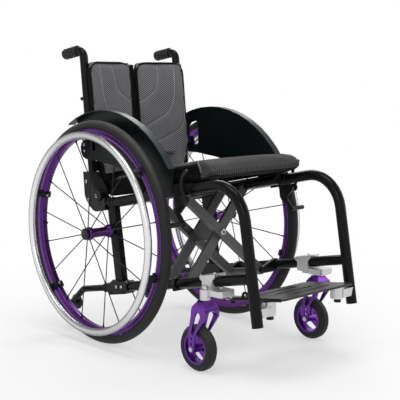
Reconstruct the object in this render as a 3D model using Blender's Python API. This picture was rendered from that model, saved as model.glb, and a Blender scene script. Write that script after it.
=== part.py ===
"""Folding wheelchair with a double cross-brace, modelled in metres with +Z up.

The chair faces -Y. Its right side is at -X, and its left side at +X.
The origin lies on the floor, in the middle of the chair's width and length.
"""

import math

import bmesh
import bpy
from mathutils import Matrix, Vector

# Clearances
GAP = 0.0003            # between pieces that touch
PLAY = 0.0006           # between a shaft and its bore
LIFT = 0.002            # running gap beside a turning piece

# Rear wheels, 24 inch, on quick-release axles
WHEEL_RADIUS = 0.2956
WHEEL_SIDES = 44
TYRE_WIDTH = 0.026
TYRE_HEIGHT = 0.0220
RIM_WIDTH = 0.023
RIM_DEPTH = 0.0205
FRAME_X = 0.170         # from the chair's middle to each side frame
WHEEL_OUT = 0.0567      # from a side frame to its rear wheel's middle plane
TRACK_HALF = FRAME_X + WHEEL_OUT
HANDRIM_OUT = 0.0392    # from the wheel's middle plane to the handrim
HANDRIM_X = TRACK_HALF + HANDRIM_OUT
HANDRIM_RADIUS = 0.2583
HANDRIM_TUBE = 0.0098
HANDRIM_SIDES = 36
HANDRIM_CLIPS = 6
CLIP_PHASE = math.radians(18.5)
CLIP_LENGTH = 0.016
SPOKES_PER_FLANGE = 9
SPOKE_PHASE = math.radians(7.7)
SPOKE_RADIUS = 0.0014
VALVE_RADIUS = 0.0032
VALVE_LENGTH = 0.013
HUB_INNER = 0.1850
HUB_OUTER = 0.2615
HUB_FLANGE = 0.0178
HUB_BARREL = 0.0122
AXLE_RADIUS = 0.0063
AXLE_BORE = 0.0040
AXLE_INNER = 0.1570
BUTTON_RADIUS = 0.0155
BUTTON_THICK = 0.0050
BUTTON_TRAVEL = 0.0030

# Side frames
FRAME_TUBE = 0.0138
LOWER_TUBE = 0.0132
SEAT_TILT = math.radians(11)
UPPER_Z = 0.369         # upper tube's centre above the rear axle
LOWER_Z = 0.1395        # lower tube's centre below the rear axle
UPPER_REAR = 0.062      # upper tube's rear end, behind the axle
LOWER_REAR = 0.046
HANGER_Y = 0.531        # hanger's lower end, ahead of the axle
HANGER_END_Z = 0.129
HANGER_LEAN = math.radians(9.3)
HANGER_BEND = 0.090
COLLAR_Y = 0.302
COLLAR_LENGTH = 0.024
COLLAR_WALL = 0.0028
UPRIGHT_Y = 0.005       # upright's middle at axle height, ahead of the axle
UPRIGHT_LEAN = math.radians(8.5)
UPRIGHT_WIDTH = 0.031
UPRIGHT_THICK = 0.018
UPRIGHT_BOTTOM = 0.163
CLAMP_LENGTH = 0.082
CLAMP_WALL = 0.0045

# Back canes and grips
CANE_X = 0.165
CANE_LEAN = math.radians(5.4)
CANE_TUBE = 0.0115
CANE_BOTTOM = 0.380
HANDLE_Y = 0.135        # where the handle's line meets the cane's line
HANDLE_Z = 0.777
HANDLE_DROP = math.radians(8)
HANDLE_BEND = 0.0225
HANDLE_REACH = 0.088    # from the cane's line to the grip's end
GRIP_RADIUS = 0.0157
GRIP_LENGTH = 0.066
GRIP_RIBS = 4
GRIP_RIB_DEPTH = 0.0022

# Side guards
GUARD_THICK = 0.0035
GUARD_RADIUS = 0.3180
GUARD_FRONT = 0.262
GUARD_REAR_ANGLE = math.radians(64)
GUARD_LIP = 0.0205
GUARD_LIP_THICK = 0.0030

# Cross-brace and seat rails
PIVOT_X = 0.1225
PIVOT_DROP = 0.0075     # lower pivots below the lower tube's centre
BRACE_LEAN = math.radians(43.5)
RAIL_TUBE = 0.0125
RAIL_FRONT = 0.372
RAIL_REAR = -0.030
BAR_WIDTH = 0.025
BAR_THICK = 0.012
BRACE_FRONT = 0.2517    # between the two front bars, along the tubes
BRACE_REAR = 0.1510     # between the two rear bars
PIVOT_TUBE = 0.0095
PIVOT_PIN = 0.0050
BOLT_HEAD = 0.0080
BOLT_SHANK = 0.0045
BRIDGE_HEIGHT = 0.034
BRIDGE_WIDTH = 0.014

# Seat cushion, sling and back
CUSHION_WIDTH = 0.342
CUSHION_THICK = 0.045
CUSHION_CROWN = 0.008
CUSHION_NOSE = 0.030
CUSHION_CORNER = 0.022
CUSHION_FRONT = 0.404
CUSHION_REAR = 0.008
SLING_THICK = 0.0045
SLING_SAG = 0.009
BACK_TOP = 0.747
BACK_BOTTOM = 0.405
BACK_NARROW = 0.462     # below this height the back is narrower, to pass the brackets
BACK_OUTER = 0.171
BACK_THICK = 0.016
LUMBAR_DEPTH = 0.006
BACK_SAG = 0.024
BACK_FLAT = 0.150        # |x| up to which the back sags
BACK_CORNER = 0.012
BACK_DRAW = 0.0025      # how far the panels' edges draw in
SPINE_WIDTH = 0.013

# Casters
CASTER_X = 0.2036
CASTER_STEM_Y = 0.391
CASTER_TRAIL = 0.024
CASTER_RADIUS = 0.0564
CASTER_SIDES = 24
CASTER_WIDTH = 0.029
CASTER_RIM = 0.0390
CASTER_HUB = 0.0095
CASTER_BOLT = 0.0040
FORK_INNER = 0.0190
FORK_LEG = 0.0050
CROWN_TOP = 0.1755
STEM_HOUSING = 0.0125
STEM_HOUSING_TOP = 0.2020
STEM_RADIUS = 0.0050

# Footplate
PLATE_HALF = 0.130
PLATE_BEHIND = 0.116    # the footplate's rear edge, behind the hangers' lower ends
PLATE_BACK_Y = HANGER_Y - PLATE_BEHIND
PLATE_DEPTH = 0.160
PLATE_SLOPE = math.radians(8)
PLATE_BACK_Z = 0.1680
PLATE_THICK = 0.0050
PLATE_SLOTS = 3
BLOCK_X = 0.122
BLOCK_BEHIND = 0.010    # each post's middle, behind the hanger's lower end
BLOCK_Y = HANGER_Y - BLOCK_BEHIND
BLOCK_RADIUS = 0.0160
BLOCK_BOTTOM = 0.1490
BLOCK_CAP = 0.0095

# Wheel locks
LOCK_PIVOT = (-0.3095, 0.4045)
SHOE_PIVOT = (-0.280, 0.376)
SHOE_AHEAD = 0.0084     # the cross rod's middle, ahead of the tyre's foremost point
SHOE_END = (-WHEEL_RADIUS - SHOE_AHEAD, 0.346)
SHOE_ROD = 0.0058
LOCK_PIN = 0.0034
LOCK_PLATE = 0.0045
LEVER_RADIUS = 0.038
LEVER_WIDTH = 0.008

# Anti-tip wheels
TIPPER_TUBE = 0.0092
TIPPER_BEND_Y = 0.152
TIPPER_END = (0.214, 0.058)
TIPPER_WHEEL = 0.022
TIPPER_WIDTH = 0.012

# Worked out from the sizes above
AXLE_Z = WHEEL_RADIUS * math.cos(math.pi / WHEEL_SIDES)
CASTER_Z = CASTER_RADIUS * math.cos(math.pi / CASTER_SIDES)
FRONT_REACH = PLATE_BACK_Y + PLATE_DEPTH * math.cos(PLATE_SLOPE)
AXLE_Y = (FRONT_REACH - AXLE_Z) / 2
TYRE_SEAT = WHEEL_RADIUS - TYRE_HEIGHT
FORWARD = Vector((0, -math.cos(SEAT_TILT), math.sin(SEAT_TILT)))
UPWARD = Vector((0, math.sin(SEAT_TILT), math.cos(SEAT_TILT)))
ARM_RISE = 2 * PIVOT_X * math.tan(BRACE_LEAN)
RAIL_N = ARM_RISE - PIVOT_DROP
CROSS_N = ARM_RISE / 2 - PIVOT_DROP
SIDES = (("right", -1), ("left", 1))

COLOURS = {
    "frame": ((0.020, 0.020, 0.023), 0.35, 0.6),
    "brace": ((0.055, 0.055, 0.058), 0.45, 0.6),
    "silver": ((0.62, 0.63, 0.65), 0.30, 1.0),
    "handrim": ((0.72, 0.72, 0.73), 0.25, 1.0),
    "purple": ((0.115, 0.022, 0.27), 0.28, 0.9),
    "rubber": ((0.022, 0.022, 0.022), 0.75, 0.0),
    "plastic": ((0.015, 0.017, 0.019), 0.50, 0.0),
    "guard": ((0.012, 0.022, 0.026), 0.40, 0.1),
    "steel": ((0.45, 0.45, 0.46), 0.30, 1.0),
    "spoke": ((0.030, 0.030, 0.032), 0.35, 0.9),
    "mesh_fabric": ((0.085, 0.085, 0.090), 0.90, 0.0),
    "black_fabric": ((0.014, 0.014, 0.016), 0.92, 0.0),
}


def clear_scene():
    """Removes whatever the scene holds."""
    for thing in list(bpy.data.objects):
        bpy.data.objects.remove(thing)


def make_materials():
    """One Principled material for each finish."""
    made = {}
    for name, (colour, roughness, metallic) in COLOURS.items():
        material = bpy.data.materials.new(name)
        material.use_nodes = True
        shader = material.node_tree.nodes["Principled BSDF"]
        shader.inputs["Base Color"].default_value = (*colour, 1)
        shader.inputs["Roughness"].default_value = roughness
        shader.inputs["Metallic"].default_value = metallic
        material.diffuse_color = (*colour, 1)
        made[name] = material
    return made


def at(x, y, z):
    """A point whose y is counted from the rear axle, forwards negative."""
    return Vector((x, y + AXLE_Y, z))


def on_tubes(x, t, n):
    """A point x across, t forwards along the lower tube from the axle and n square above it."""
    return at(x, 0, LOWER_Z) + FORWARD * t + UPWARD * n


def upper_z(y):
    """Height of the upper tube's centre at y."""
    return UPPER_Z - math.tan(SEAT_TILT) * y


def lower_z(y):
    """Height of the lower tube's centre at y."""
    return LOWER_Z - math.tan(SEAT_TILT) * y


def finished(name, mesh, pivot=None):
    """An object of this mesh, with its origin at pivot and its faces pointing out."""
    shape = bmesh.new()
    shape.from_mesh(mesh)
    bmesh.ops.recalc_face_normals(shape, faces=shape.faces)
    shape.to_mesh(mesh)
    shape.free()
    thing = bpy.data.objects.new(name, mesh)
    bpy.context.scene.collection.objects.link(thing)
    if pivot is not None:
        set_origin(thing, pivot)
    return thing


def set_origin(thing, pivot):
    """Moves the object's origin to pivot and leaves the shape where it is."""
    offset = Vector(pivot) - thing.location
    thing.data.transform(Matrix.Translation(-offset))
    thing.location = Vector(pivot)


def paint(thing, finish, pivot=None):
    """Gives a finished piece its material, its shading and its joint's origin."""
    thing.data.materials.clear()
    thing.data.materials.append(MATERIALS[finish])
    thing.data.shade_smooth()
    thing.data.set_sharp_from_angle(angle=math.radians(35))
    if pivot is not None:
        set_origin(thing, pivot)
    return thing


def combine(thing, tool, operation="DIFFERENCE"):
    """Applies a Boolean between two objects and removes the tool."""
    modifier = thing.modifiers.new(operation.lower(), "BOOLEAN")
    modifier.operation = operation
    modifier.solver = "EXACT"
    modifier.object = tool
    bpy.context.view_layer.update()
    shaped = thing.evaluated_get(bpy.context.evaluated_depsgraph_get())
    mesh = bpy.data.meshes.new_from_object(shaped)
    thing.modifiers.clear()
    thing.data = mesh
    bpy.data.objects.remove(tool)
    return thing


def cut(thing, *tools):
    """Cuts each tool out of the object."""
    for tool in tools:
        combine(thing, tool)
    return thing


def join(thing, *tools):
    """Fuses each tool to the object."""
    for tool in tools:
        combine(thing, tool, "UNION")
    return thing


def arc(centre, radius, start, stop, steps):
    """Points on an arc in a plane; angles in radians."""
    span = stop - start
    return [
        (centre[0] + radius * math.cos(start + span * i / steps),
         centre[1] + radius * math.sin(start + span * i / steps))
        for i in range(steps + 1)
    ]


def bent_path(corners, radii, steps=7):
    """The corners of a tube's centreline with each inner one rounded to its bend radius."""
    path = [corners[0]]
    for before, corner, after, radius in zip(corners, corners[1:], corners[2:], radii):
        into = (corner - before).normalized()
        out = (after - corner).normalized()
        turn = into.angle(out)
        setback = radius * math.tan(turn / 2)
        start = corner - into * setback
        inward = (out - into * into.dot(out)).normalized()
        centre = start + inward * radius
        for i in range(steps + 1):
            a = turn * i / steps
            path.append(centre - inward * radius * math.cos(a) + into * radius * math.sin(a))
    path.append(corners[-1])
    return path


def tube(name, path, radius, sides=12, radii=None):
    """A round bar along a path, made as a bevelled curve; radii swells it point by point."""
    line = bpy.data.curves.new(name, "CURVE")
    line.dimensions = "3D"
    line.bevel_depth = radius
    line.bevel_resolution = (sides - 4) // 2
    line.use_fill_caps = True
    spline = line.splines.new("POLY")
    spline.points.add(len(path) - 1)
    for i, place in enumerate(path):
        spline.points[i].co = (*place, 1)
        spline.points[i].radius = 1.0 if radii is None else radii[i] / radius
    guide = bpy.data.objects.new(name + "_line", line)
    bpy.context.scene.collection.objects.link(guide)
    bpy.context.view_layer.update()
    mesh = bpy.data.meshes.new_from_object(guide)
    bpy.data.objects.remove(guide)
    shape = bmesh.new()
    shape.from_mesh(mesh)
    bmesh.ops.remove_doubles(shape, verts=shape.verts, dist=0.00001)
    shape.to_mesh(mesh)
    shape.free()
    return finished(name, mesh)


def bore_tool(start, end, radius, clear=GAP, sides=16):
    """A cutter whose flats stay clear of a round bar of this radius."""
    return rod("tool", start, end, (radius + clear) / math.cos(math.pi / sides), sides)


def rod(name, start, end, radius, sides=12):
    """A round bar between two points, as a cone primitive laid along its axis."""
    along = Vector(end) - Vector(start)
    shape = bmesh.new()
    bmesh.ops.create_cone(shape, cap_ends=True, segments=sides, radius1=radius,
                          radius2=radius, depth=along.length)
    lay = along.to_track_quat("Z", "Y").to_matrix().to_4x4()
    middle = Matrix.Translation((Vector(start) + Vector(end)) / 2)
    bmesh.ops.transform(shape, verts=shape.verts, matrix=middle @ lay)
    mesh = bpy.data.meshes.new(name)
    shape.to_mesh(mesh)
    shape.free()
    return finished(name, mesh)


def turned(name, profile, centre, sides, half_turn=False):
    """A profile of (radius, x) points spun about the X axis through centre.

    A closed profile leaves a bore; half_turn sets a flat, and not a corner, at the bottom.
    """
    shape = bmesh.new()
    phase = math.pi / sides if half_turn else 0.0
    verts = [
        shape.verts.new((x, -r * math.sin(phase), -r * math.cos(phase)))
        for r, x in profile
    ]
    face = shape.faces.new(verts)
    bmesh.ops.spin(shape, geom=[face], cent=(0, 0, 0), axis=(1, 0, 0),
                   angle=2 * math.pi, steps=sides, use_duplicate=False)
    bmesh.ops.remove_doubles(shape, verts=shape.verts, dist=0.00001)
    # the spin leaves the profile's own face inside the turned shape
    start = [f for f in shape.faces if all(len(e.link_faces) > 2 or e.calc_length() < 0.00001
                                           or abs(e.verts[0].co.y) + abs(e.verts[0].co.z)
                                           + abs(e.verts[1].co.y) + abs(e.verts[1].co.z)
                                           < 0.00001 for e in f.edges)]
    bmesh.ops.delete(shape, geom=start, context="FACES_ONLY")
    bmesh.ops.translate(shape, verts=shape.verts, vec=centre)
    mesh = bpy.data.meshes.new(name)
    shape.to_mesh(mesh)
    shape.free()
    return finished(name, mesh)


def slab(name, outline, origin, across, up, depth, bevel=0.0):
    """A flat outline, in the across and up directions from origin, extruded by depth."""
    across = Vector(across)
    up = Vector(up)
    normal = across.cross(up)
    shape = bmesh.new()
    verts = [shape.verts.new(Vector(origin) + across * a + up * b) for a, b in outline]
    face = shape.faces.new(verts)
    raised = bmesh.ops.extrude_face_region(shape, geom=[face])
    top = [v for v in raised["geom"] if isinstance(v, bmesh.types.BMVert)]
    bmesh.ops.translate(shape, verts=top, vec=normal * depth)
    if bevel:
        edges = [e for e in shape.edges if abs((e.verts[0].co - e.verts[1].co).normalized()
                                               .dot(normal)) < 0.5]
        bmesh.ops.bevel(shape, geom=edges, offset=bevel, segments=1, affect="EDGES",
                        clamp_overlap=True)
    mesh = bpy.data.meshes.new(name)
    shape.to_mesh(mesh)
    shape.free()
    return finished(name, mesh)


def side_plate(name, outline, side, inner, thick, bevel=0.0):
    """An outline of (y, z) points, y from the axle, extruded outwards from |x| = inner."""
    return slab(name, [(side * y, z) for y, z in outline], at(side * inner, 0, 0),
                (0, side, 0), (0, 0, 1), thick, bevel)


def hanger_corner():
    """Where the upper tube's line meets the hanger's line."""
    lean = math.tan(HANGER_LEAN)
    slope = math.tan(SEAT_TILT)
    # upper: z = UPPER_Z - slope*y, hanger: y = -HANGER_Y + lean*(z - HANGER_END_Z)
    z = (UPPER_Z + slope * (HANGER_Y + lean * HANGER_END_Z)) / (1 + slope * lean)
    return -HANGER_Y + lean * (z - HANGER_END_Z), z


def hanger_y(z):
    """The hanger's centre line at height z."""
    return -HANGER_Y + math.tan(HANGER_LEAN) * (z - HANGER_END_Z)


def upper_tube_tool(side, rear=0.06):
    """A cutter on the upper tube's line."""
    x = side * FRAME_X
    return bore_tool(at(x, rear, upper_z(rear)), at(x, -0.40, upper_z(-0.40)), FRAME_TUBE)


def lower_tube_tool(side):
    """A cutter on the lower tube's line."""
    x = side * FRAME_X
    return bore_tool(at(x, 0.20, lower_z(0.20)), at(x, -0.60, lower_z(-0.60)), LOWER_TUBE)


def front_frame_tube(word, side):
    """Upper side tube that bends down into the hanger, with the joint collar on it."""
    x = side * FRAME_X
    y_corner, z_corner = hanger_corner()
    half = COLLAR_LENGTH / 2
    stations = [UPPER_REAR, -COLLAR_Y + half, -COLLAR_Y + half, -COLLAR_Y - half,
                -COLLAR_Y - half]
    swell = [0, 0, COLLAR_WALL, COLLAR_WALL, 0]
    nudge = [0, 0, -0.001, 0.001, 0]
    start = [at(x, y + d, upper_z(y + d)) for y, d in zip(stations, nudge)]
    bend = bent_path([start[-1], at(x, y_corner, z_corner),
                      at(x, -HANGER_Y, HANGER_END_Z)], [HANGER_BEND], 9)
    path = start + bend[1:]
    radii = [FRAME_TUBE + s for s in swell] + [FRAME_TUBE] * (len(bend) - 1)
    return paint(tube("front_frame_tube_" + word, path, FRAME_TUBE, 12, radii), "frame")


def lower_side_tube(word, side):
    """Lower side tube: coped to the hanger in front, bored for the anti-tip tube behind."""
    x = side * FRAME_X
    front = -HANGER_Y + 0.02
    piece = rod("lower_side_tube_" + word, at(x, LOWER_REAR, lower_z(LOWER_REAR)),
                at(x, front, lower_z(front)), LOWER_TUBE, 14)
    hanger = bore_tool(at(x, hanger_y(0.10), 0.10), at(x, hanger_y(0.36), 0.36), FRAME_TUBE)
    bore = bore_tool(at(x, LOWER_REAR + 0.01, lower_z(LOWER_REAR + 0.01)),
                     at(x, LOWER_REAR - 0.05, lower_z(LOWER_REAR - 0.05)), TIPPER_TUBE)
    cut(piece, hanger, bore)
    return paint(keep_largest(piece), "frame")


def keep_largest(thing):
    """Drops the offcut that a cope leaves beyond the crossing tube."""
    shape = bmesh.new()
    shape.from_mesh(thing.data)
    left = set(shape.verts)
    islands = []
    while left:
        stack = [left.pop()]
        island = set(stack)
        while stack:
            vert = stack.pop()
            for edge in vert.link_edges:
                other = edge.other_vert(vert)
                if other in left:
                    left.discard(other)
                    island.add(other)
                    stack.append(other)
        islands.append(island)
    islands.sort(key=len, reverse=True)
    extra = [v for island in islands[1:] for v in island]
    bmesh.ops.delete(shape, geom=extra, context="VERTS")
    shape.to_mesh(thing.data)
    shape.free()
    return thing


def upright_y(z):
    """The upright's middle at height z."""
    return -UPRIGHT_Y + math.tan(UPRIGHT_LEAN) * (z - AXLE_Z)


def axle_upright(word, side):
    """Rectangular upright between the side tubes, with the axle's receiver bored through."""
    half = UPRIGHT_WIDTH / 2
    top = upper_z(upright_y(UPPER_Z)) - FRAME_TUBE * 0.35
    outline = [(upright_y(UPRIGHT_BOTTOM) - half, UPRIGHT_BOTTOM),
               (upright_y(UPRIGHT_BOTTOM) + half, UPRIGHT_BOTTOM),
               (upright_y(top) + half, top), (upright_y(top) - half, top)]
    inner = FRAME_X - UPRIGHT_THICK / 2
    piece = side_plate("axle_upright_" + word, outline, side, inner, UPRIGHT_THICK)
    sleeve = rod("tool", at(side * (inner - 0.006), 0, AXLE_Z),
                 at(side * (HUB_INNER - LIFT), 0, AXLE_Z), 0.0125, 16)
    join(piece, sleeve)
    bore = rod("tool", at(side * 0.12, 0, AXLE_Z), at(side * 0.21, 0, AXLE_Z),
               AXLE_RADIUS + GAP, 16)
    cut(piece, bore, upper_tube_tool(side))
    return paint(piece, "frame")


def lower_clamp(word, side):
    """Clamp casting that holds the upright's foot on the lower tube, with its two bolts."""
    y_mid = upright_y(UPRIGHT_BOTTOM)
    rise = LOWER_TUBE + CLAMP_WALL
    half = CLAMP_LENGTH / 2
    drop = 0.019
    seat = UPRIGHT_BOTTOM - GAP - lower_z(y_mid)
    slope = math.tan(SEAT_TILT)
    outline = []
    for y, z in ((-half, -drop * 0.6), (-half + 0.008, -drop), (half - 0.008, -drop),
                 (half, -drop * 0.6), (half, rise * 0.55), (half - 0.012, rise * 0.9)):
        outline.append((y_mid + y, lower_z(y_mid + y) + z))
    edge = UPRIGHT_WIDTH / 2 + 0.003
    outline += [(y_mid + edge, lower_z(y_mid) + seat), (y_mid - edge, lower_z(y_mid) + seat),
                (y_mid - half + 0.012, lower_z(y_mid) + slope * half + rise * 0.75),
                (y_mid - half, lower_z(y_mid) + slope * half + rise * 0.5)]
    inner = FRAME_X - rise
    piece = side_plate("lower_clamp_" + word, outline, side, inner, 2 * rise, 0.0015)
    cut(piece, lower_tube_tool(side))
    for y in (y_mid - 0.026, y_mid + 0.026):
        z = lower_z(y) - LOWER_TUBE - 0.0005
        head = rod("tool", at(side * (FRAME_X + rise - 0.001), y, z),
                   at(side * (FRAME_X + rise + 0.0030), y, z), 0.0042, 8)
        join(piece, head)
    return paint(piece, "frame")


def axle_pin(word, side):
    """Hollow quick-release axle, fixed in the upright, that the wheel turns on."""
    outer = HUB_OUTER + 0.0004
    piece = rod("axle_pin_" + word, at(side * AXLE_INNER, 0, AXLE_Z),
                at(side * outer, 0, AXLE_Z), AXLE_RADIUS, 16)
    bore = rod("tool", at(side * (AXLE_INNER + 0.02), 0, AXLE_Z),
               at(side * (outer + 0.01), 0, AXLE_Z), AXLE_BORE, 12)
    return paint(cut(piece, bore), "steel")


def quick_release_button(word, side):
    """Push button with its plunger inside the axle; pressing it frees the wheel."""
    face = HUB_OUTER + BUTTON_TRAVEL + 2 * PLAY
    profile = [(0.0, -BUTTON_THICK), (BUTTON_RADIUS, -BUTTON_THICK),
               (BUTTON_RADIUS, -0.0018), (BUTTON_RADIUS - 0.0018, 0.0), (0.0, 0.0)]
    stem = AXLE_BORE - PLAY
    length = 0.050
    profile = [(0.0, -length), (stem, -length), (stem, -BUTTON_THICK)] + profile[1:]
    profile = [(r, side * (x + BUTTON_THICK + face)) for r, x in profile]
    piece = turned("quick_release_button_" + word, profile, at(0, 0, AXLE_Z), 14)
    return paint(piece, "plastic", at(side * face, 0, AXLE_Z))


def cane_y(z):
    """How far behind the axle the leaning cane's middle is at this height."""
    return HANDLE_Y - math.tan(CANE_LEAN) * (HANDLE_Z - z)


def on_cane(side, z):
    """A point on the cane's line."""
    return at(side * CANE_X, cane_y(z), z)


def on_handle(side, reach):
    """A point on the handle's line, counted from where it meets the cane's line."""
    return at(side * CANE_X, HANDLE_Y + reach * math.cos(HANDLE_DROP),
              HANDLE_Z - reach * math.sin(HANDLE_DROP))


def back_cane(word, side):
    """Back cane that leans rearwards and turns into the push handle."""
    path = bent_path([on_cane(side, CANE_BOTTOM), on_handle(side, 0),
                      on_handle(side, HANDLE_REACH - 0.006)], [HANDLE_BEND], 7)
    return paint(tube("back_cane_" + word, path, CANE_TUBE, 12), "frame")


def push_grip(word, side):
    """Ribbed rubber grip with a rounded end, pulled over the handle's end."""
    start = HANDLE_REACH - GRIP_LENGTH
    step = (GRIP_LENGTH - 0.014) / GRIP_RIBS
    stations = [(start, GRIP_RADIUS - 0.003)]
    for i in range(GRIP_RIBS):
        base = start + 0.004 + step * i
        stations += [(base, GRIP_RADIUS), (base + step * 0.6, GRIP_RADIUS - GRIP_RIB_DEPTH)]
    stations += [(HANDLE_REACH - 0.008, GRIP_RADIUS), (HANDLE_REACH - 0.003, GRIP_RADIUS * 0.92),
                 (HANDLE_REACH, GRIP_RADIUS * 0.62)]
    piece = tube("push_grip_" + word, [on_handle(side, s) for s, r in stations], GRIP_RADIUS,
                 10, [r for s, r in stations])
    bore = bore_tool(on_handle(side, start - 0.01), on_handle(side, HANDLE_REACH - 0.006 + GAP),
                     CANE_TUBE, sides=12)
    return paint(cut(piece, bore), "rubber")


def back_bracket(word, side):
    """Casting that joins the upper tube's rear end to the back cane, with its round boss."""
    outline = [(0.062, 0.3399), (0.074, 0.3415), (0.090, 0.352), (0.104, 0.366),
               (0.1125, 0.380), (0.1180, 0.445), (0.0885, 0.445), (0.079, 0.428),
               (0.061, 0.407), (0.053, 0.391), (0.0430, 0.3772), (0.0208, 0.3815),
               (0.0208, 0.3480)]
    inner, outer = 0.1515, 0.1880
    piece = side_plate("back_bracket_" + word, outline, side, inner, outer - inner, 0.0015)
    boss_y, boss_z = 0.047, 0.3855
    boss = rod("tool", at(side * 0.1740, boss_y, boss_z),
               at(side * (outer + 0.0050), boss_y, boss_z), 0.0155, 16)
    join(piece, boss)
    x = side * FRAME_X
    tube_bore = bore_tool(at(x, UPPER_REAR + GAP, upper_z(UPPER_REAR + GAP)),
                          at(x, -0.05, upper_z(-0.05)), FRAME_TUBE)
    cane_bore = bore_tool(on_cane(side, CANE_BOTTOM - GAP), on_cane(side, 0.50), CANE_TUBE)
    cut(piece, tube_bore, cane_bore)
    for y, z, foot in ((0.1010, 0.420, outer), (0.090, 0.370, outer),
                       (boss_y, boss_z, outer + 0.0050)):
        head = rod("tool", at(side * (foot - 0.001), y, z),
                   at(side * (foot + 0.0030), y, z), 0.0045, 8)
        join(piece, head)
    return paint(piece, "frame")


def side_guard(word, side):
    """Moulded guard beside the seat, with a lip over the tyre and a window near the back."""
    inner = FRAME_X + FRAME_TUBE + GAP
    front_angle = math.acos(-GUARD_FRONT / GUARD_RADIUS)
    curve = arc((0, AXLE_Z), GUARD_RADIUS, GUARD_REAR_ANGLE, front_angle, 12)
    low_front = (-GUARD_FRONT + 0.004, upper_z(-GUARD_FRONT) - 0.004)
    low = [low_front, (-0.218, upper_z(-0.218) - 0.004), (-0.196, upper_z(-0.196) + 0.014),
           (-0.120, 0.452), (-0.020, 0.471), (0.096, 0.483)]
    piece = side_plate("side_guard_" + word, curve + low, side, inner, GUARD_THICK)
    window = [(0.058, 0.507), (0.082, 0.500), (0.098, 0.512), (0.098, 0.556),
              (0.088, 0.568), (0.066, 0.573), (0.058, 0.566)]
    cut(piece, side_plate("tool", window, side, inner - 0.01, 0.03))
    outer_arc = arc((0, AXLE_Z), GUARD_RADIUS + GUARD_LIP_THICK, GUARD_REAR_ANGLE - 0.06,
                    front_angle, 12)
    inner_arc = arc((0, AXLE_Z), GUARD_RADIUS - 0.0002, front_angle,
                    GUARD_REAR_ANGLE - 0.06, 12)
    lip = side_plate("tool", outer_arc + inner_arc, side, inner, GUARD_LIP)
    join(piece, lip)
    post_y = cane_y(0.506) - 0.008
    post = rod("tool", at(side * (CANE_X + CANE_TUBE * 0.6), post_y, 0.506),
               at(side * (inner + 0.001), post_y, 0.506), 0.011, 12)
    arm = side_plate("tool", [(0.070, 0.4795), (0.100, 0.4800), (0.116, 0.4860),
                              (0.124, 0.4980), (0.126, 0.5120), (0.121, 0.5250),
                              (0.080, 0.5280)], side, inner, GUARD_THICK)
    cane = bore_tool(on_cane(side, 0.46), on_cane(side, 0.55), CANE_TUBE)
    join(piece, arm)
    join(piece, post)
    cut(piece, cane)
    return paint(piece, "guard")


def brake_mount(word, side):
    """Wheel lock's clamp on the upper tube, with the ear that carries both pivots."""
    rise = FRAME_TUBE + 0.0045
    front = -COLLAR_Y + COLLAR_LENGTH / 2 + 0.001
    rear = -GUARD_FRONT - 0.001
    slide = rise * math.tan(SEAT_TILT)
    cover = FRAME_TUBE + COLLAR_WALL
    outline = [(rear - slide, upper_z(rear) - rise), (rear, upper_z(rear) + cover),
               (front + slide, upper_z(front) + cover), (front, upper_z(front) - rise)]
    piece = side_plate("brake_mount_" + word, outline, side, FRAME_X - rise, 2 * rise - GAP)
    (lock_y, lock_z), (shoe_y, shoe_z) = LOCK_PIVOT, SHOE_PIVOT
    ear = [(shoe_y + 0.010, shoe_z), (rear - 0.004, 0.405), (rear - 0.004, 0.424),
           (front + 0.001, 0.414), (lock_y, lock_z + 0.009), (lock_y - 0.0085, lock_z + 0.002),
           (lock_y - 0.004, lock_z - 0.008), (shoe_y - 0.007, shoe_z - 0.006),
           (shoe_y + 0.002, shoe_z - 0.010)]
    ear_face = lock_plane() - GAP
    join(piece, side_plate("tool", ear, side, FRAME_X + FRAME_TUBE + 0.0005,
                           ear_face - FRAME_X - FRAME_TUBE - 0.0005))
    spacer = rod("tool", at(side * (ear_face - 0.001), lock_y, lock_z),
                 at(side * (ear_face + LOCK_PLATE + GAP), lock_y, lock_z), 0.0060, 10)
    lock_pin = rod("tool", at(side * (ear_face - 0.001), lock_y, lock_z),
                   at(side * (ear_face + 2 * LOCK_PLATE + 0.0015), lock_y, lock_z), LOCK_PIN, 10)
    shoe_pin = rod("tool", at(side * (ear_face - 0.001), shoe_y, shoe_z),
                   at(side * (ear_face + LOCK_PLATE + 0.0015), shoe_y, shoe_z), LOCK_PIN, 10)
    join(piece, spacer, lock_pin, shoe_pin)
    cut(piece, upper_tube_tool(side))
    return paint(piece, "frame")


def lock_plane():
    """|x| of the inner face of the arm that presses the tyre."""
    return FRAME_X + FRAME_TUBE + 0.0072


def brake_lever(word, side):
    """Curved lever that throws the wheel lock."""
    y, z = LOCK_PIVOT
    centre = (y - 0.0325, z + 0.0385)
    half = LEVER_WIDTH / 2
    start, stop = math.radians(-50), math.radians(58)
    inside = arc(centre, LEVER_RADIUS - half, start, stop, 7)
    outside = arc(centre, LEVER_RADIUS + half, stop, start, 7)
    end = (centre[0] + LEVER_RADIUS * math.cos(stop), centre[1] + LEVER_RADIUS * math.sin(stop))
    tip = arc(end, half * 1.25, stop + math.pi, stop, 5)
    inner = lock_plane() + LOCK_PLATE + 2 * GAP
    piece = side_plate("brake_lever_" + word, inside[:-1] + tip + outside[1:], side, inner,
                       LOCK_PLATE)
    boss = rod("tool", at(side * (inner - 0.0001), y, z),
               at(side * (inner + LOCK_PLATE + 0.0002), y, z), 0.0105, 14)
    join(piece, boss)
    bore = rod("tool", at(side * (inner - 0.01), y, z), at(side * (inner + 0.02), y, z),
               LOCK_PIN + PLAY, 12)
    return paint(cut(piece, bore), "brace", at(side * inner, y, z))


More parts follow.
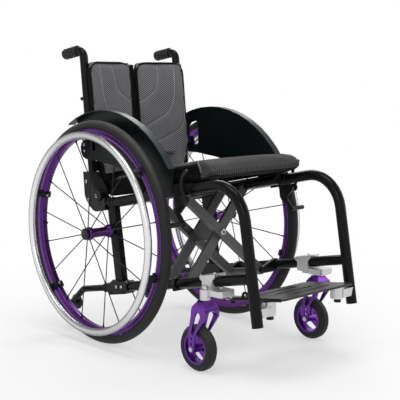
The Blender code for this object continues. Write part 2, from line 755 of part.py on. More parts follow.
def brake_shoe_arm(word, side):
    """Arm with the cross rod that presses on the tyre."""
    y, z = SHOE_PIVOT
    end_y, end_z = SHOE_END
    inner = lock_plane()
    outer = inner + LOCK_PLATE
    length = math.hypot(end_y - y, end_z - z)
    ny, nz = -(end_z - z) / length * 0.0065, (end_y - y) / length * 0.0065
    outline = [(y + ny, z + nz), (end_y + ny, end_z + nz), (end_y - ny, end_z - nz),
               (y - ny, z - nz)]
    piece = side_plate("brake_shoe_arm_" + word, outline, side, inner, LOCK_PLATE)
    boss = rod("tool", at(side * (inner - 0.0001), y, z), at(side * (outer + 0.0001), y, z),
               0.0085, 12)
    end = rod("tool", at(side * (inner - 0.0001), end_y, end_z),
              at(side * (outer + 0.0001), end_y, end_z), 0.0085, 12)
    shoe = rod("tool", at(side * (inner + 0.001), end_y, end_z),
               at(side * (TRACK_HALF + TYRE_WIDTH / 2), end_y, end_z), SHOE_ROD, 12)
    join(piece, boss, end, shoe)
    bore = rod("tool", at(side * (inner - 0.01), y, z), at(side * (inner + 0.02), y, z),
               LOCK_PIN + PLAY, 12)
    return paint(cut(piece, bore), "frame", at(side * inner, y, z))


def caster_clamp(word, side):
    """Clamp under the lower tube with the caster stem's housing outboard of it."""
    y = -CASTER_STEM_Y
    top = STEM_HOUSING_TOP
    base = CROWN_TOP + LIFT * 0.6
    piece = rod("caster_clamp_" + word, at(side * CASTER_X, y, base),
                at(side * CASTER_X, y, top), STEM_HOUSING, 16)
    plan = [(-0.034, 0.012), (-0.034, -0.046), (-0.026, -0.052), (0.012, -0.052),
            (0.016, -0.046), (0.016, 0.012)]
    under = slab("tool", [(-a, b) for a, b in plan], at(side * FRAME_X, y, top - 0.0145),
                 (side, 0, 0), (0, 1, 0), 0.0145 * side)
    saddle_y = y + 0.010
    rise = LOWER_TUBE + 0.005
    wide, narrow = 0.026, 0.018
    outline = [(saddle_y - wide, lower_z(saddle_y - wide) + rise),
               (saddle_y - wide, lower_z(saddle_y - wide) + rise - 0.008),
               (saddle_y - narrow, lower_z(saddle_y - narrow) + rise - 0.014),
               (saddle_y - narrow, top - 0.010), (saddle_y + narrow, top - 0.010),
               (saddle_y + narrow, lower_z(saddle_y + narrow) + rise - 0.014),
               (saddle_y + wide, lower_z(saddle_y + wide) + rise - 0.008),
               (saddle_y + wide, lower_z(saddle_y + wide) + rise)]
    saddle = side_plate("tool", outline, side, FRAME_X - rise, 2 * rise)
    join(piece, under, saddle)
    bore = rod("tool", at(side * CASTER_X, y, base - 0.01), at(side * CASTER_X, y, top + 0.02),
               STEM_RADIUS + PLAY, 14)
    cut(piece, lower_tube_tool(side), bore)
    return paint(piece, "silver")


def caster_fork(word, side):
    """Skeleton fork: a bell-shaped crown and two slotted legs, with its stem and axle bolt."""
    x = side * CASTER_X
    stem_y = -CASTER_STEM_Y
    axle_y = stem_y + CASTER_TRAIL
    outer = FORK_INNER + FORK_LEG
    low = CASTER_Z - 0.018
    shoulder = [(outer, CROWN_TOP - 0.026), (outer - 0.0012, CROWN_TOP - 0.015),
                (outer - 0.0055, CROWN_TOP - 0.007), (0.0125, CROWN_TOP)]
    front = [(-x_out, z) for x_out, z in shoulder] + shoulder[::-1]
    front += [(outer, low), (FORK_INNER, low)]
    front += arc((0, CROWN_TOP - 0.041), FORK_INNER, 0, math.pi, 6)
    front += [(-FORK_INNER, low), (-outer, low)]
    piece = slab("caster_fork_" + word, front, at(x, stem_y - 0.040, 0), (1, 0, 0), (0, 0, 1),
                 -0.100)
    waist = CASTER_Z + 0.034
    side_view = [(stem_y - 0.0125, CROWN_TOP + 0.002), (stem_y - 0.0125, CROWN_TOP - 0.004),
                 (stem_y - 0.021, CROWN_TOP - 0.014), (stem_y - 0.024, CROWN_TOP - 0.024),
                 (stem_y - 0.023, CROWN_TOP - 0.038), (axle_y - 0.0115, waist),
                 (axle_y - 0.0095, CASTER_Z)]
    side_view += arc((axle_y, CASTER_Z), 0.0095, math.pi, 2 * math.pi, 4)[1:]
    side_view += [(axle_y + 0.0115, waist), (stem_y + 0.025, CROWN_TOP - 0.038),
                  (stem_y + 0.024, CROWN_TOP - 0.024), (stem_y + 0.021, CROWN_TOP - 0.014),
                  (stem_y + 0.0125, CROWN_TOP - 0.004), (stem_y + 0.0125, CROWN_TOP + 0.002)]
    outline = side_plate("tool", side_view, side, CASTER_X - 0.05, 0.10)
    combine(piece, outline, "INTERSECT")
    slot_top = CROWN_TOP - 0.036
    slot = arc((stem_y + 0.002, slot_top), 0.0100, 0, math.pi, 4)
    slot += arc((axle_y - 0.004, waist + 0.006), 0.0055, math.pi, 2 * math.pi, 3)
    cut(piece, side_plate("tool", slot, side, CASTER_X - 0.05, 0.10))
    stem = rod("tool", at(x, stem_y, CROWN_TOP - 0.004),
               at(x, stem_y, STEM_HOUSING_TOP + 0.004), STEM_RADIUS, 12)
    nut = rod("tool", at(x, stem_y, STEM_HOUSING_TOP + LIFT * 0.3),
              at(x, stem_y, STEM_HOUSING_TOP + 0.009), 0.0085, 6)
    bolt = rod("tool", at(x - outer - 0.0030, axle_y, CASTER_Z),
               at(x + outer + 0.0030, axle_y, CASTER_Z), CASTER_BOLT, 8)
    head_a = rod("tool", at(x - outer - 0.0030, axle_y, CASTER_Z),
                 at(x - outer + 0.001, axle_y, CASTER_Z), 0.0062, 6)
    head_b = rod("tool", at(x + outer - 0.001, axle_y, CASTER_Z),
                 at(x + outer + 0.0030, axle_y, CASTER_Z), 0.0062, 6)
    join(piece, stem, nut, bolt, head_a, head_b)
    for lift in (0.013, 0.026):
        hole = rod("tool", at(x - 0.04, axle_y, CASTER_Z + lift),
                   at(x + 0.04, axle_y, CASTER_Z + lift), 0.0036, 6)
        cut(piece, hole)
    return paint(piece, "purple", at(x, stem_y, CROWN_TOP))


def caster_rim(word, side):
    """Dished three-spoke rim that turns on the axle bolt."""
    centre = at(side * CASTER_X, -CASTER_STEM_Y + CASTER_TRAIL, CASTER_Z)
    half = CASTER_WIDTH / 2
    lip = CASTER_RIM
    ring = turned("caster_rim_" + word,
                  [(lip - 0.0045, -half + 0.001), (lip, -half + 0.001), (lip, half - 0.001),
                   (lip - 0.0045, half - 0.001), (lip - 0.0075, 0.0)], centre, CASTER_SIDES,
                  True)
    hub_half = FORK_INNER - 0.0008
    hub = turned("tool", [(CASTER_BOLT + PLAY, -hub_half), (CASTER_HUB, -hub_half),
                          (CASTER_HUB + 0.001, 0.0), (CASTER_HUB, hub_half),
                          (CASTER_BOLT + PLAY, hub_half)], centre, 10)
    for i in range(3):
        a = math.radians(90 + 120 * i)
        away = Vector((0, math.cos(a), math.sin(a)))
        beside = Vector((0, -math.sin(a), math.cos(a)))
        near = [(-0.0052, CASTER_HUB * 0.75), (-0.0085, lip - 0.0055), (0.0085, lip - 0.0055),
                (0.0052, CASTER_HUB * 0.75)]
        arm = slab("tool", near, centre + Vector((-0.0048, 0, 0)), beside, away, 0.0096)
        if (beside.cross(away)).x < 0:
            arm.data.transform(Matrix.Translation((0.0096, 0, 0)))
        join(ring, arm)
    join(ring, hub)
    return paint(ring, "purple", centre)


def caster_tyre(word, side):
    """Solid tyre with rounded shoulders."""
    centre = at(side * CASTER_X, -CASTER_STEM_Y + CASTER_TRAIL, CASTER_Z)
    half = CASTER_WIDTH / 2
    seat = CASTER_RIM + GAP
    profile = [(seat, -half), (CASTER_RADIUS - 0.007, -half),
               (CASTER_RADIUS, -half + 0.008), (CASTER_RADIUS, half - 0.008),
               (CASTER_RADIUS - 0.007, half), (seat, half)]
    piece = turned("caster_tyre_" + word, profile, centre, CASTER_SIDES, True)
    return paint(piece, "rubber", centre)


def plate_point(across, back):
    """A point on the footplate's underside: across in x, back from its rear edge forwards."""
    run = Vector((0, -math.cos(PLATE_SLOPE), math.sin(PLATE_SLOPE)))
    return at(across, -PLATE_BACK_Y, PLATE_BACK_Z) + run * back


def plate_axes():
    """The footplate's forward and upward directions."""
    forward = Vector((0, -math.cos(PLATE_SLOPE), math.sin(PLATE_SLOPE)))
    up = Vector((0, math.sin(PLATE_SLOPE), math.cos(PLATE_SLOPE)))
    return forward, up


def footplate():
    """One-piece footplate with grip slots, a turned-down front lip and a hinge barrel."""
    forward, up = plate_axes()
    corner = 0.014
    half, depth = PLATE_HALF, PLATE_DEPTH
    outline = [(-half, 0.0), (half - corner, 0.0), (half, corner), (half, depth - corner)]
    outline += [(half - corner, depth), (0.040, depth), (0.030, depth - 0.004),
                (-0.052, depth - 0.004), (-0.062, depth), (-half + 0.006, depth),
                (-half, depth - 0.006)]
    piece = slab("footplate", outline, plate_point(0, 0), (1, 0, 0), forward, PLATE_THICK,
                 0.0012)
    if Vector((1, 0, 0)).cross(forward).dot(up) < 0:
        piece.data.transform(Matrix.Translation(up * PLATE_THICK))
    for i in range(PLATE_SLOTS):
        where = depth * (0.24 + 0.24 * i)
        shift = 0.018 * (i - 1)
        a, b = -0.062 + shift, 0.062 + shift
        slot = arc((b, where), 0.0052, -math.pi / 2, math.pi / 2, 3)
        slot += arc((a, where), 0.0052, math.pi / 2, 3 * math.pi / 2, 3)
        tool = slab("tool", slot, plate_point(0, 0) - up * 0.02, (1, 0, 0), forward, -0.05)
        cut(piece, tool)
    barrel_at = plate_point(-half, 0) + up * PLATE_THICK / 2
    barrel = rod("tool", barrel_at - forward * 0.004, barrel_at + forward * (depth - 0.008),
                 0.0043, 12)
    loop_at = plate_point(-half + 0.016, 0.022) + up * (PLATE_THICK - 0.001)
    loop_path = [loop_at + forward * 0.0095 * math.cos(a) + up * 0.0115 * math.sin(a)
                 for a in [math.pi * i / 6 for i in range(7)]]
    loop = tube("tool", loop_path, 0.0032, 6)
    join(piece, barrel, loop)
    return paint(piece, "plastic", barrel_at)


def footplate_block(word, side):
    """Clamp on the hanger with the round post that the footplate rests on."""
    forward, up = plate_axes()
    y = -BLOCK_Y
    h_y = hanger_y(0.160)
    piece = rod("footplate_block_" + word, at(side * BLOCK_X, y, BLOCK_BOTTOM),
                at(side * BLOCK_X, y, 0.21), BLOCK_RADIUS, 18)
    cap = rod("tool", at(side * BLOCK_X, y - 0.003, BLOCK_BOTTOM - BLOCK_CAP),
              at(side * BLOCK_X, y - 0.003, BLOCK_BOTTOM + 0.002), BLOCK_RADIUS * 0.56, 14)
    bar = side_plate("tool", [(h_y - 0.012, 0.151), (h_y + 0.012, 0.151),
                              (h_y + 0.012, 0.172), (h_y - 0.012, 0.172)], side,
                     BLOCK_X + 0.006, FRAME_X - BLOCK_X - 0.010)
    join(piece, bar, cap)
    hanger = bore_tool(at(side * FRAME_X, hanger_y(0.10), 0.10),
                       at(side * FRAME_X, hanger_y(0.24), 0.24), FRAME_TUBE)
    drop = GAP + (0.0043 - PLATE_THICK / 2 if side < 0 else 0.0)
    sky = slab("tool", [(-0.08, -0.06), (0.08, -0.06), (0.08, 0.26), (-0.08, 0.26)],
               plate_point(side * BLOCK_X, 0) - up * drop, (1, 0, 0), forward, -0.08)
    cut(piece, hanger, sky)
    return paint(keep_largest(piece), "silver")


def bar_outline(length):
    """A brace bar's outline about its lower eye, in x and n, with a round foot."""
    half = BAR_WIDTH / 2
    along = (math.cos(BRACE_LEAN), math.sin(BRACE_LEAN))
    beside = (-math.sin(BRACE_LEAN), math.cos(BRACE_LEAN))
    foot = arc((0, 0), half, BRACE_LEAN + math.pi / 2, BRACE_LEAN + 3 * math.pi / 2, 6)
    ends = [(along[0] * length + side * beside[0] * half,
             along[1] * length + side * beside[1] * half) for side in (-1, 1)]
    return foot + ends


def brace_bar(name, pivot_side, t_low, thick):
    """One bar of the cross-brace, from its lower pivot to the opposite seat rail."""
    outline = bar_outline(math.hypot(ARM_RISE, 2 * PIVOT_X))
    across = Vector((-pivot_side, 0, 0))
    start = on_tubes(pivot_side * PIVOT_X, t_low, -PIVOT_DROP)
    piece = slab(name, outline, start, across, UPWARD, thick)
    if across.cross(UPWARD).dot(FORWARD) < 0:
        piece.data.transform(Matrix.Translation(FORWARD * thick))
    return piece


def brace_frame(name, pivot_side, front_t, rear_t):
    """Two bars fused to their pivot tube; front_t and rear_t are the bars' rear faces."""
    piece = brace_bar(name, pivot_side, front_t, BAR_THICK)
    join(piece, brace_bar("tool", pivot_side, rear_t, BAR_THICK))
    x = pivot_side * PIVOT_X
    sleeve = rod("tool", on_tubes(x, rear_t + 0.001, -PIVOT_DROP),
                 on_tubes(x, front_t + BAR_THICK - 0.001, -PIVOT_DROP), PIVOT_TUBE, 12)
    join(piece, sleeve)
    return piece


def finish_brace(piece, pivot_side):
    """Bores the pivot tube and copes the bars' upper ends to the seat rail."""
    x = pivot_side * PIVOT_X
    bore = bore_tool(on_tubes(x, 0.05, -PIVOT_DROP), on_tubes(x, 0.36, -PIVOT_DROP),
                     PIVOT_PIN, GAP, 12)
    rail = bore_tool(on_tubes(-x, 0.05, RAIL_N), on_tubes(-x, 0.36, RAIL_N), RAIL_TUBE)
    cut(piece, bore, rail)
    return keep_largest(piece)


def brace_inner():
    """Inner half of the double cross-brace: right pivot, left seat rail, joined by a bridge."""
    front_t = BRACE_FRONT - BAR_THICK - GAP
    rear_t = BRACE_REAR + GAP
    piece = brace_frame("brace_inner", -1, front_t, rear_t)
    middle = CROSS_N
    bridge = slab("tool", [(-BRIDGE_WIDTH / 2, -BRIDGE_HEIGHT / 2),
                           (BRIDGE_WIDTH / 2, -BRIDGE_HEIGHT / 2),
                           (BRIDGE_WIDTH / 2, BRIDGE_HEIGHT / 2),
                           (-BRIDGE_WIDTH / 2, BRIDGE_HEIGHT / 2)],
                  on_tubes(0, rear_t + BAR_THICK - 0.001, middle), (1, 0, 0), UPWARD,
                  front_t - rear_t - BAR_THICK + 0.002)
    join(piece, bridge)
    hole = rod("tool", on_tubes(0, 0.10, middle), on_tubes(0, rear_t + BAR_THICK * 0.7, middle),
               BOLT_SHANK + PLAY, 14)
    hole_front = rod("tool", on_tubes(0, front_t + BAR_THICK * 0.3, middle),
                     on_tubes(0, 0.32, middle), BOLT_SHANK + PLAY, 14)
    cut(piece, hole, hole_front)
    return paint(finish_brace(piece, -1), "brace", on_tubes(-PIVOT_X, BRACE_REAR, -PIVOT_DROP))


def brace_outer():
    """Outer half: left pivot, right seat rail, with the centre pivot bolts."""
    front_t = BRACE_FRONT + GAP
    rear_t = BRACE_REAR - GAP - BAR_THICK
    piece = brace_frame("brace_outer", 1, front_t, rear_t)
    middle = CROSS_N
    for inner_t, outer_t in ((BRACE_FRONT - BAR_THICK * 0.6, front_t + BAR_THICK + 0.004),
                             (BRACE_REAR + BAR_THICK * 0.6, rear_t - 0.004)):
        shank = rod("tool", on_tubes(0, inner_t, middle), on_tubes(0, outer_t, middle),
                    BOLT_SHANK, 12)
        step = 0.0045 if outer_t > inner_t else -0.0045
        head = rod("tool", on_tubes(0, outer_t - step, middle),
                   on_tubes(0, outer_t, middle), BOLT_HEAD, 12)
        join(piece, shank, head)
    return paint(finish_brace(piece, 1), "brace", on_tubes(0, BRACE_REAR, CROSS_N))


def seat_rail(word, side):
    """Seat rail at the top of the brace, rising as the chair folds."""
    x = side * PIVOT_X
    piece = rod("seat_rail_" + word, on_tubes(x, RAIL_REAR, RAIL_N),
                on_tubes(x, RAIL_FRONT, RAIL_N), RAIL_TUBE, 14)
    return paint(piece, "frame")


def pivot_block(word, side):
    """Two clamps on the lower tube and the pin between them that the brace turns on."""
    reach = BAR_THICK + 2 * GAP
    if side > 0:
        front, rear = BRACE_FRONT + reach, BRACE_REAR - reach
    else:
        front, rear = BRACE_FRONT, BRACE_REAR
    thick = 0.012
    ring = LOWER_TUBE + 0.0040
    lug = PIVOT_PIN + 0.0042
    eye = (FRAME_X - PIVOT_X, -PIVOT_DROP)
    piece = rod("pivot_block_" + word, on_tubes(side * PIVOT_X, rear - thick, -PIVOT_DROP),
                on_tubes(side * PIVOT_X, front + thick, -PIVOT_DROP), PIVOT_PIN, 12)
    for t, drop in ((front + 0.0004, 0.0), (rear - 0.0004 - thick, 0.013)):
        outline = arc((0, 0), ring, math.radians(60), math.radians(210), 6)
        outline += [(-ring * 0.8, -ring - drop), (ring * 0.5, -ring - drop)]
        outline += arc(eye, lug, math.radians(-90), math.radians(90), 5)
        tool = slab("tool", outline, on_tubes(side * FRAME_X, t, 0), (-side, 0, 0), UPWARD,
                    thick)
        if Vector((-side, 0, 0)).cross(UPWARD).dot(FORWARD) < 0:
            tool.data.transform(Matrix.Translation(FORWARD * thick))
        join(piece, tool)
    cut(piece, lower_tube_tool(side))
    return paint(piece, "frame")


def anti_tip_tube(word, side):
    """Tube that slides into the lower tube and turns down behind it."""
    x = side * FRAME_X
    start = LOWER_REAR - 0.045
    end_y, end_z = TIPPER_END
    path = bent_path([at(x, start, lower_z(start)),
                      at(x, TIPPER_BEND_Y, lower_z(TIPPER_BEND_Y)), at(x, end_y, end_z)],
                     [0.030], 5)
    piece = tube("anti_tip_tube_" + word, path, TIPPER_TUBE, 10)
    inner = FRAME_X - TIPPER_TUBE - 0.001
    pin = rod("tool", at(side * (FRAME_X - 0.002), end_y - 0.004, end_z + 0.003),
              at(side * (inner - TIPPER_WIDTH - 0.003), end_y - 0.004, end_z + 0.003), 0.0032, 10)
    head = rod("tool", at(side * (inner - TIPPER_WIDTH - 0.0006), end_y - 0.004, end_z + 0.003),
               at(side * (inner - TIPPER_WIDTH - 0.004), end_y - 0.004, end_z + 0.003), 0.0060, 10)
    join(piece, pin, head)
    return paint(piece, "frame")


def anti_tip_wheel(word, side):
    """Small wheel that meets the floor when the chair tips back."""
    end_y, end_z = TIPPER_END
    middle = FRAME_X - TIPPER_TUBE - 0.001 - TIPPER_WIDTH / 2
    centre = at(side * middle, end_y - 0.004, end_z + 0.003)
    half = TIPPER_WIDTH / 2
    profile = [(0.0032 + PLAY, -half), (TIPPER_WHEEL - 0.003, -half),
               (TIPPER_WHEEL, -half + 0.003), (TIPPER_WHEEL, half - 0.003),
               (TIPPER_WHEEL - 0.003, half), (0.0032 + PLAY, half)]
    return paint(turned("anti_tip_wheel_" + word, profile, centre, 16), "rubber", centre)


def tyre(word, side):
    """Slim treaded tyre; a flat of its many sides rests on the floor."""
    centre = at(side * TRACK_HALF, 0, AXLE_Z)
    half = TYRE_WIDTH / 2
    seat = TYRE_SEAT + GAP
    profile = [(seat, -half + 0.002), (WHEEL_RADIUS - 0.009, -half), (WHEEL_RADIUS, -0.006),
               (WHEEL_RADIUS, 0.006), (WHEEL_RADIUS - 0.009, half), (seat, half - 0.002)]
    return paint(turned("tyre_" + word, profile, centre, WHEEL_SIDES, True), "rubber", centre)


def rim(word, side):
    """Deep-section rim with the valve's stem on its inner wall."""
    centre = at(side * TRACK_HALF, 0, AXLE_Z)
    half = RIM_WIDTH / 2
    inner = TYRE_SEAT - RIM_DEPTH
    profile = [(TYRE_SEAT, -half), (TYRE_SEAT - 0.012, -half), (inner, -half + 0.003),
               (inner, half - 0.003), (TYRE_SEAT - 0.012, half), (TYRE_SEAT, half)]
    piece = turned("rim_" + word, profile, centre, WHEEL_SIDES, True)
    stem = rod("tool", centre + Vector((0, inner + 0.004, 0)),
               centre + Vector((0, inner - VALVE_LENGTH, 0)), VALVE_RADIUS, 8)
    return paint(join(piece, stem), "purple", centre)


def hub_spokes(word, side):
    """Hub with its flanges and the spokes, each flange's set laced to the rim."""
    centre = at(0, 0, AXLE_Z)
    bore = AXLE_RADIUS + PLAY
    outline = [(bore, HUB_INNER), (HUB_FLANGE - 0.001, HUB_INNER),
               (HUB_FLANGE, HUB_INNER + 0.008), (HUB_BARREL, HUB_INNER + 0.026),
               (HUB_BARREL, HUB_OUTER - 0.018), (HUB_FLANGE - 0.001, HUB_OUTER - 0.008),
               (HUB_FLANGE - 0.001, HUB_OUTER), (bore, HUB_OUTER)]
    piece = turned("hub_spokes_" + word, [(r, side * x) for r, x in outline], centre, 16)
    reach = TYRE_SEAT - RIM_DEPTH - GAP
    rim_flat = reach * math.cos(math.pi / WHEEL_SIDES)
    root = HUB_FLANGE - 0.004
    pitch = 2 * math.pi / SPOKES_PER_FLANGE
    for i in range(SPOKES_PER_FLANGE):
        for flange_x, rim_x, swing, turn in (
                (HUB_OUTER - 0.004, TRACK_HALF + 0.004, 0.0, 0.0),
                (HUB_INNER + 0.0055, TRACK_HALF - 0.004, 0.25, pitch / 2)):
            a = SPOKE_PHASE + pitch * i + turn
            end = Vector((0, math.cos(a), math.sin(a))) * rim_flat
            foot = Vector((0, math.cos(a + swing), math.sin(a + swing))) * root
            spoke = rod("tool", centre + foot + Vector((side * flange_x, 0, 0)),
                        centre + end + Vector((side * rim_x, 0, 0)), SPOKE_RADIUS, 3)
            join(piece, spoke)
    return paint(piece, "spoke", at(side * TRACK_HALF, 0, AXLE_Z))


def handrim(word, side):
    """Push rim with the clips that wrap the wheel's rim and hold it off."""
    shape_at = at(side * HANDRIM_X, 0, AXLE_Z)
    ring = [(HANDRIM_RADIUS + HANDRIM_TUBE * math.cos(a), HANDRIM_TUBE * math.sin(a))
            for a in [2 * math.pi * i / 7 for i in range(7)]]
    piece = turned("handrim_" + word, ring, shape_at, HANDRIM_SIDES)
    half = RIM_WIDTH / 2 + 2 * GAP
    wall = 0.0030
    floor = (TYRE_SEAT - RIM_DEPTH) * math.cos(math.pi / WHEEL_SIDES) - 2 * GAP
    waist = TYRE_SEAT - 0.0125
    strap = [(half, TYRE_SEAT - 0.002), (half, waist), (half - 0.003, floor),
             (0.003 - half, floor), (0.0001 - half, waist - 0.002),
             (0.0001 - half - wall, waist - 0.002), (0.0008 - half, floor - wall),
             (half - 0.0008, floor - wall), (half + wall, waist - 0.003)]
    strap = [(TRACK_HALF + x, r) for x, r in strap]
    strap += [(HANDRIM_X, HANDRIM_RADIUS - 0.004), (HANDRIM_X - 0.002, HANDRIM_RADIUS + 0.004),
              (TRACK_HALF + half + wall, TYRE_SEAT - 0.002)]
    for i in range(HANDRIM_CLIPS):
        a = CLIP_PHASE + 2 * math.pi * i / HANDRIM_CLIPS
        away = Vector((0, math.cos(a), math.sin(a)))
        beside = Vector((0, -math.sin(a), math.cos(a)))
        clip = slab("tool", [(side * x, r) for x, r in strap],
                    at(0, 0, AXLE_Z) - beside * CLIP_LENGTH / 2, (1, 0, 0), away, CLIP_LENGTH)
        if Vector((1, 0, 0)).cross(away).dot(beside) < 0:
            clip.data.transform(Matrix.Translation(beside * CLIP_LENGTH))
        join(piece, clip)
    return paint(piece, "handrim", at(side * TRACK_HALF, 0, AXLE_Z))


def pillow(name, width, length, thick, crown, draw, corner, cells, nose=0.0, shape_top=None):
    """A padded form with a crowned top, drawn-in sides and a flat base, in its own axes.

    It spans x from -width/2 to width/2 and y from 0 to length; its base is at z = 0.
    Its corners have the radius corner, seen from above. The end at y = 0 swells forwards
    by nose below its top edge.
    """
    nx, ny = cells
    shape = bmesh.new()

    def outline(u, v):
        a, b = u * width / 2, v * length / 2
        over_a = abs(a) - (width / 2 - corner)
        over_b = abs(b) - (length / 2 - corner)
        if over_a > 0 and over_b > 0:
            pull = 1 - max(over_a, over_b) / math.hypot(over_a, over_b)
            a -= math.copysign(over_a * pull, a)
            b -= math.copysign(over_b * pull, b)
        return a, b

    def ring_point(u, v, z, inward, swell=0.0):
        a, b = outline(u, v)
        shrink_x = 1 - 2 * inward / width
        shrink_y = 1 - 2 * inward / length
        forward = nose * swell * max(0.0, -v) ** 12
        return (a * shrink_x, b * shrink_y + length / 2 - forward, z)

    def top_height(u, v):
        swell = (1 - u ** 4) * (1 - v ** 4)
        extra = shape_top(u, v) if shape_top else 0.0
        return thick + crown * swell + extra

    us = [math.sin(math.pi / 2 * (2 * i / nx - 1)) for i in range(nx + 1)]
    vs = [math.sin(math.pi / 2 * (2 * j / ny - 1)) for j in range(ny + 1)]
    top = [[shape.verts.new(ring_point(u, v, top_height(u, v), 0.3 * draw))
            for v in vs] for u in us]
    base = [[shape.verts.new(ring_point(u, v, 0.0, 0.6 * draw)) for v in vs] for u in us]
    for grid, flip in ((top, False), (base, True)):
        for i in range(nx):
            for j in range(ny):
                quad = [grid[i][j], grid[i + 1][j], grid[i + 1][j + 1], grid[i][j + 1]]
                shape.faces.new(quad[::-1] if flip else quad)
    rim_at = [(i, 0) for i in range(nx)] + [(nx, j) for j in range(ny)]
    rim_at += [(i, ny) for i in range(nx, 0, -1)] + [(0, j) for j in range(ny, 0, -1)]
    levels = [(0.80, 0.0, 0.55), (0.50, 1.0, 0.95), (0.22, 0.35, 1.0)]
    rings = [[top[i][j] for i, j in rim_at]]
    for share, pull, swell in levels:
        ring = []
        for i, j in rim_at:
            height = top_height(us[i], vs[j]) * share
            ring.append(shape.verts.new(ring_point(us[i], vs[j], height, pull * draw, swell)))
        rings.append(ring)
    rings.append([base[i][j] for i, j in rim_at])
    count = len(rim_at)
    for upper, lower in zip(rings, rings[1:]):
        for k in range(count):
            shape.faces.new((upper[k], lower[k], lower[(k + 1) % count], upper[(k + 1) % count]))
    mesh = bpy.data.meshes.new(name)
    shape.to_mesh(mesh)
    shape.free()
    return finished(name, mesh)


def seat_cushion():
    """Foam cushion with a crowned top and drawn-in sides, lying on the seat rails."""
    length = CUSHION_FRONT - CUSHION_REAR
    piece = pillow("seat_cushion", CUSHION_WIDTH, length, CUSHION_THICK, CUSHION_CROWN,
                   0.0035, CUSHION_CORNER, (10, 10), CUSHION_NOSE)
    lay = Matrix((Vector((1, 0, 0)), FORWARD * -1, UPWARD)).transposed().to_4x4()
    base = on_tubes(0, CUSHION_FRONT, RAIL_N + RAIL_TUBE + SLING_THICK + 2 * GAP)
    piece.data.transform(Matrix.Translation(base) @ lay)
    return paint(piece, "mesh_fabric")


def seat_sling():
    """Fabric sling between the seat rails."""
    half = PIVOT_X + RAIL_TUBE * 0.8
    flat = PIVOT_X - RAIL_TUBE * 0.9
    first, last = RAIL_REAR + 0.012, RAIL_FRONT - 0.010
    points = 8
    under = [(-half, 0.0)]
    for i in range(points + 1):
        u = 2 * i / points - 1
        under.append((u * flat, -SLING_SAG * (1 - u * u)))
    under.append((half, 0.0))
    top = [(x, n + SLING_THICK) for x, n in reversed(under)]
    piece = slab("seat_sling", under + top, on_tubes(0, first, RAIL_N + RAIL_TUBE + GAP),
                 (1, 0, 0), UPWARD, last - first)
    return paint(piece, "black_fabric")


def back_panel(word, side):
    """Padded half of the backrest, which leans with the cane and sags to the spine."""
    spine = SPINE_WIDTH / 2 + GAP - 0.35 * BACK_DRAW
    width = BACK_OUTER - spine
    height = BACK_TOP - BACK_BOTTOM

    def bolster(u, v):
        outward = (1 + side * u) / 2
        down = (1 - v) / 2
        return LUMBAR_DEPTH * outward ** 1.5 * min(1.0, down * 1.15)

    piece = pillow("back_panel_" + word, width, height, BACK_THICK, 0.004, BACK_DRAW,
                   BACK_CORNER, (8, 8), 0.0, bolster)
    # the pillow's height axis faces forwards, and its length runs up the back
    lay = Matrix(((1, 0, 0), (0, 0, -1), (0, 1, 0))).to_4x4()
    piece.data.transform(Matrix.Translation(at(side * (spine + width / 2), 0, BACK_BOTTOM)) @ lay)
    narrow = (0.1500 - spine) / (BACK_OUTER - spine)
    for vert in piece.data.vertices:
        vert.co.y += back_face(vert.co.z) + back_sag(vert.co.x)
        if vert.co.z < BACK_NARROW:
            vert.co.x = side * (spine + (side * vert.co.x - spine) * narrow)
    return paint(piece, "mesh_fabric")


def back_face(z):
    """Where the back's rear face lies against the canes at this height, behind the axle."""
    return cane_y(z) - (CANE_TUBE + GAP) / math.cos(CANE_LEAN)


def back_sag(x):
    """How far the back hangs rearwards of the canes at x."""
    return BACK_SAG * max(0.0, 1 - (x / BACK_FLAT) ** 2)


def back_spine():
    """Strip between the two back panels that lets the back fold."""
    half = SPINE_WIDTH / 2
    back = back_sag(half)
    front = back - BACK_THICK * 0.62
    outline = [(-half, back), (half, back), (half, front + 0.002), (half - 0.002, front),
               (-half + 0.002, front), (-half, front + 0.002)]
    piece = slab("back_spine", outline, at(0, 0, BACK_BOTTOM + 0.004), (1, 0, 0), (0, 1, 0),
                 BACK_TOP - BACK_BOTTOM - 0.022)
    for vert in piece.data.vertices:
        vert.co.y += back_face(vert.co.z)
    return paint(piece, "black_fabric")


SIDE_PIECES = (
    front_frame_tube, lower_side_tube, axle_upright, lower_clamp, axle_pin,
    quick_release_button, back_cane, push_grip, back_bracket, side_guard, brake_mount,
    brake_lever, brake_shoe_arm, caster_clamp, caster_fork, caster_rim, caster_tyre,
    footplate_block, pivot_block, anti_tip_tube, anti_tip_wheel, tyre, rim, hub_spokes,
    handrim, seat_rail, back_panel,
)
CENTRE_PIECES = (footplate, brace_inner, brace_outer, seat_cushion, seat_sling, back_spine)

clear_scene()
MATERIALS = make_materials()
for make in SIDE_PIECES:
    for side_word, side_sign in SIDES:
        make(side_word, side_sign)
for make in CENTRE_PIECES:
    make()
bpy.context.view_layer.update()
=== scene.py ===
# %% [markdown]
# # A folding wheelchair
#
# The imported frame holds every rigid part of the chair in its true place. This script gives
# each of them its real finish, and puts fuller pieces where the frame has only a plain form:
# the cushion, the sling, the two halves of the back, and the wheels.
# The chair faces -Y, its right side is at -X, and the floor is at z = 0. All sizes are in metres.

# %% The frame and its box
import math

import bmesh
import bpy
from mathutils import Matrix, Vector, kdtree
from mathutils.bvhtree import BVHTree


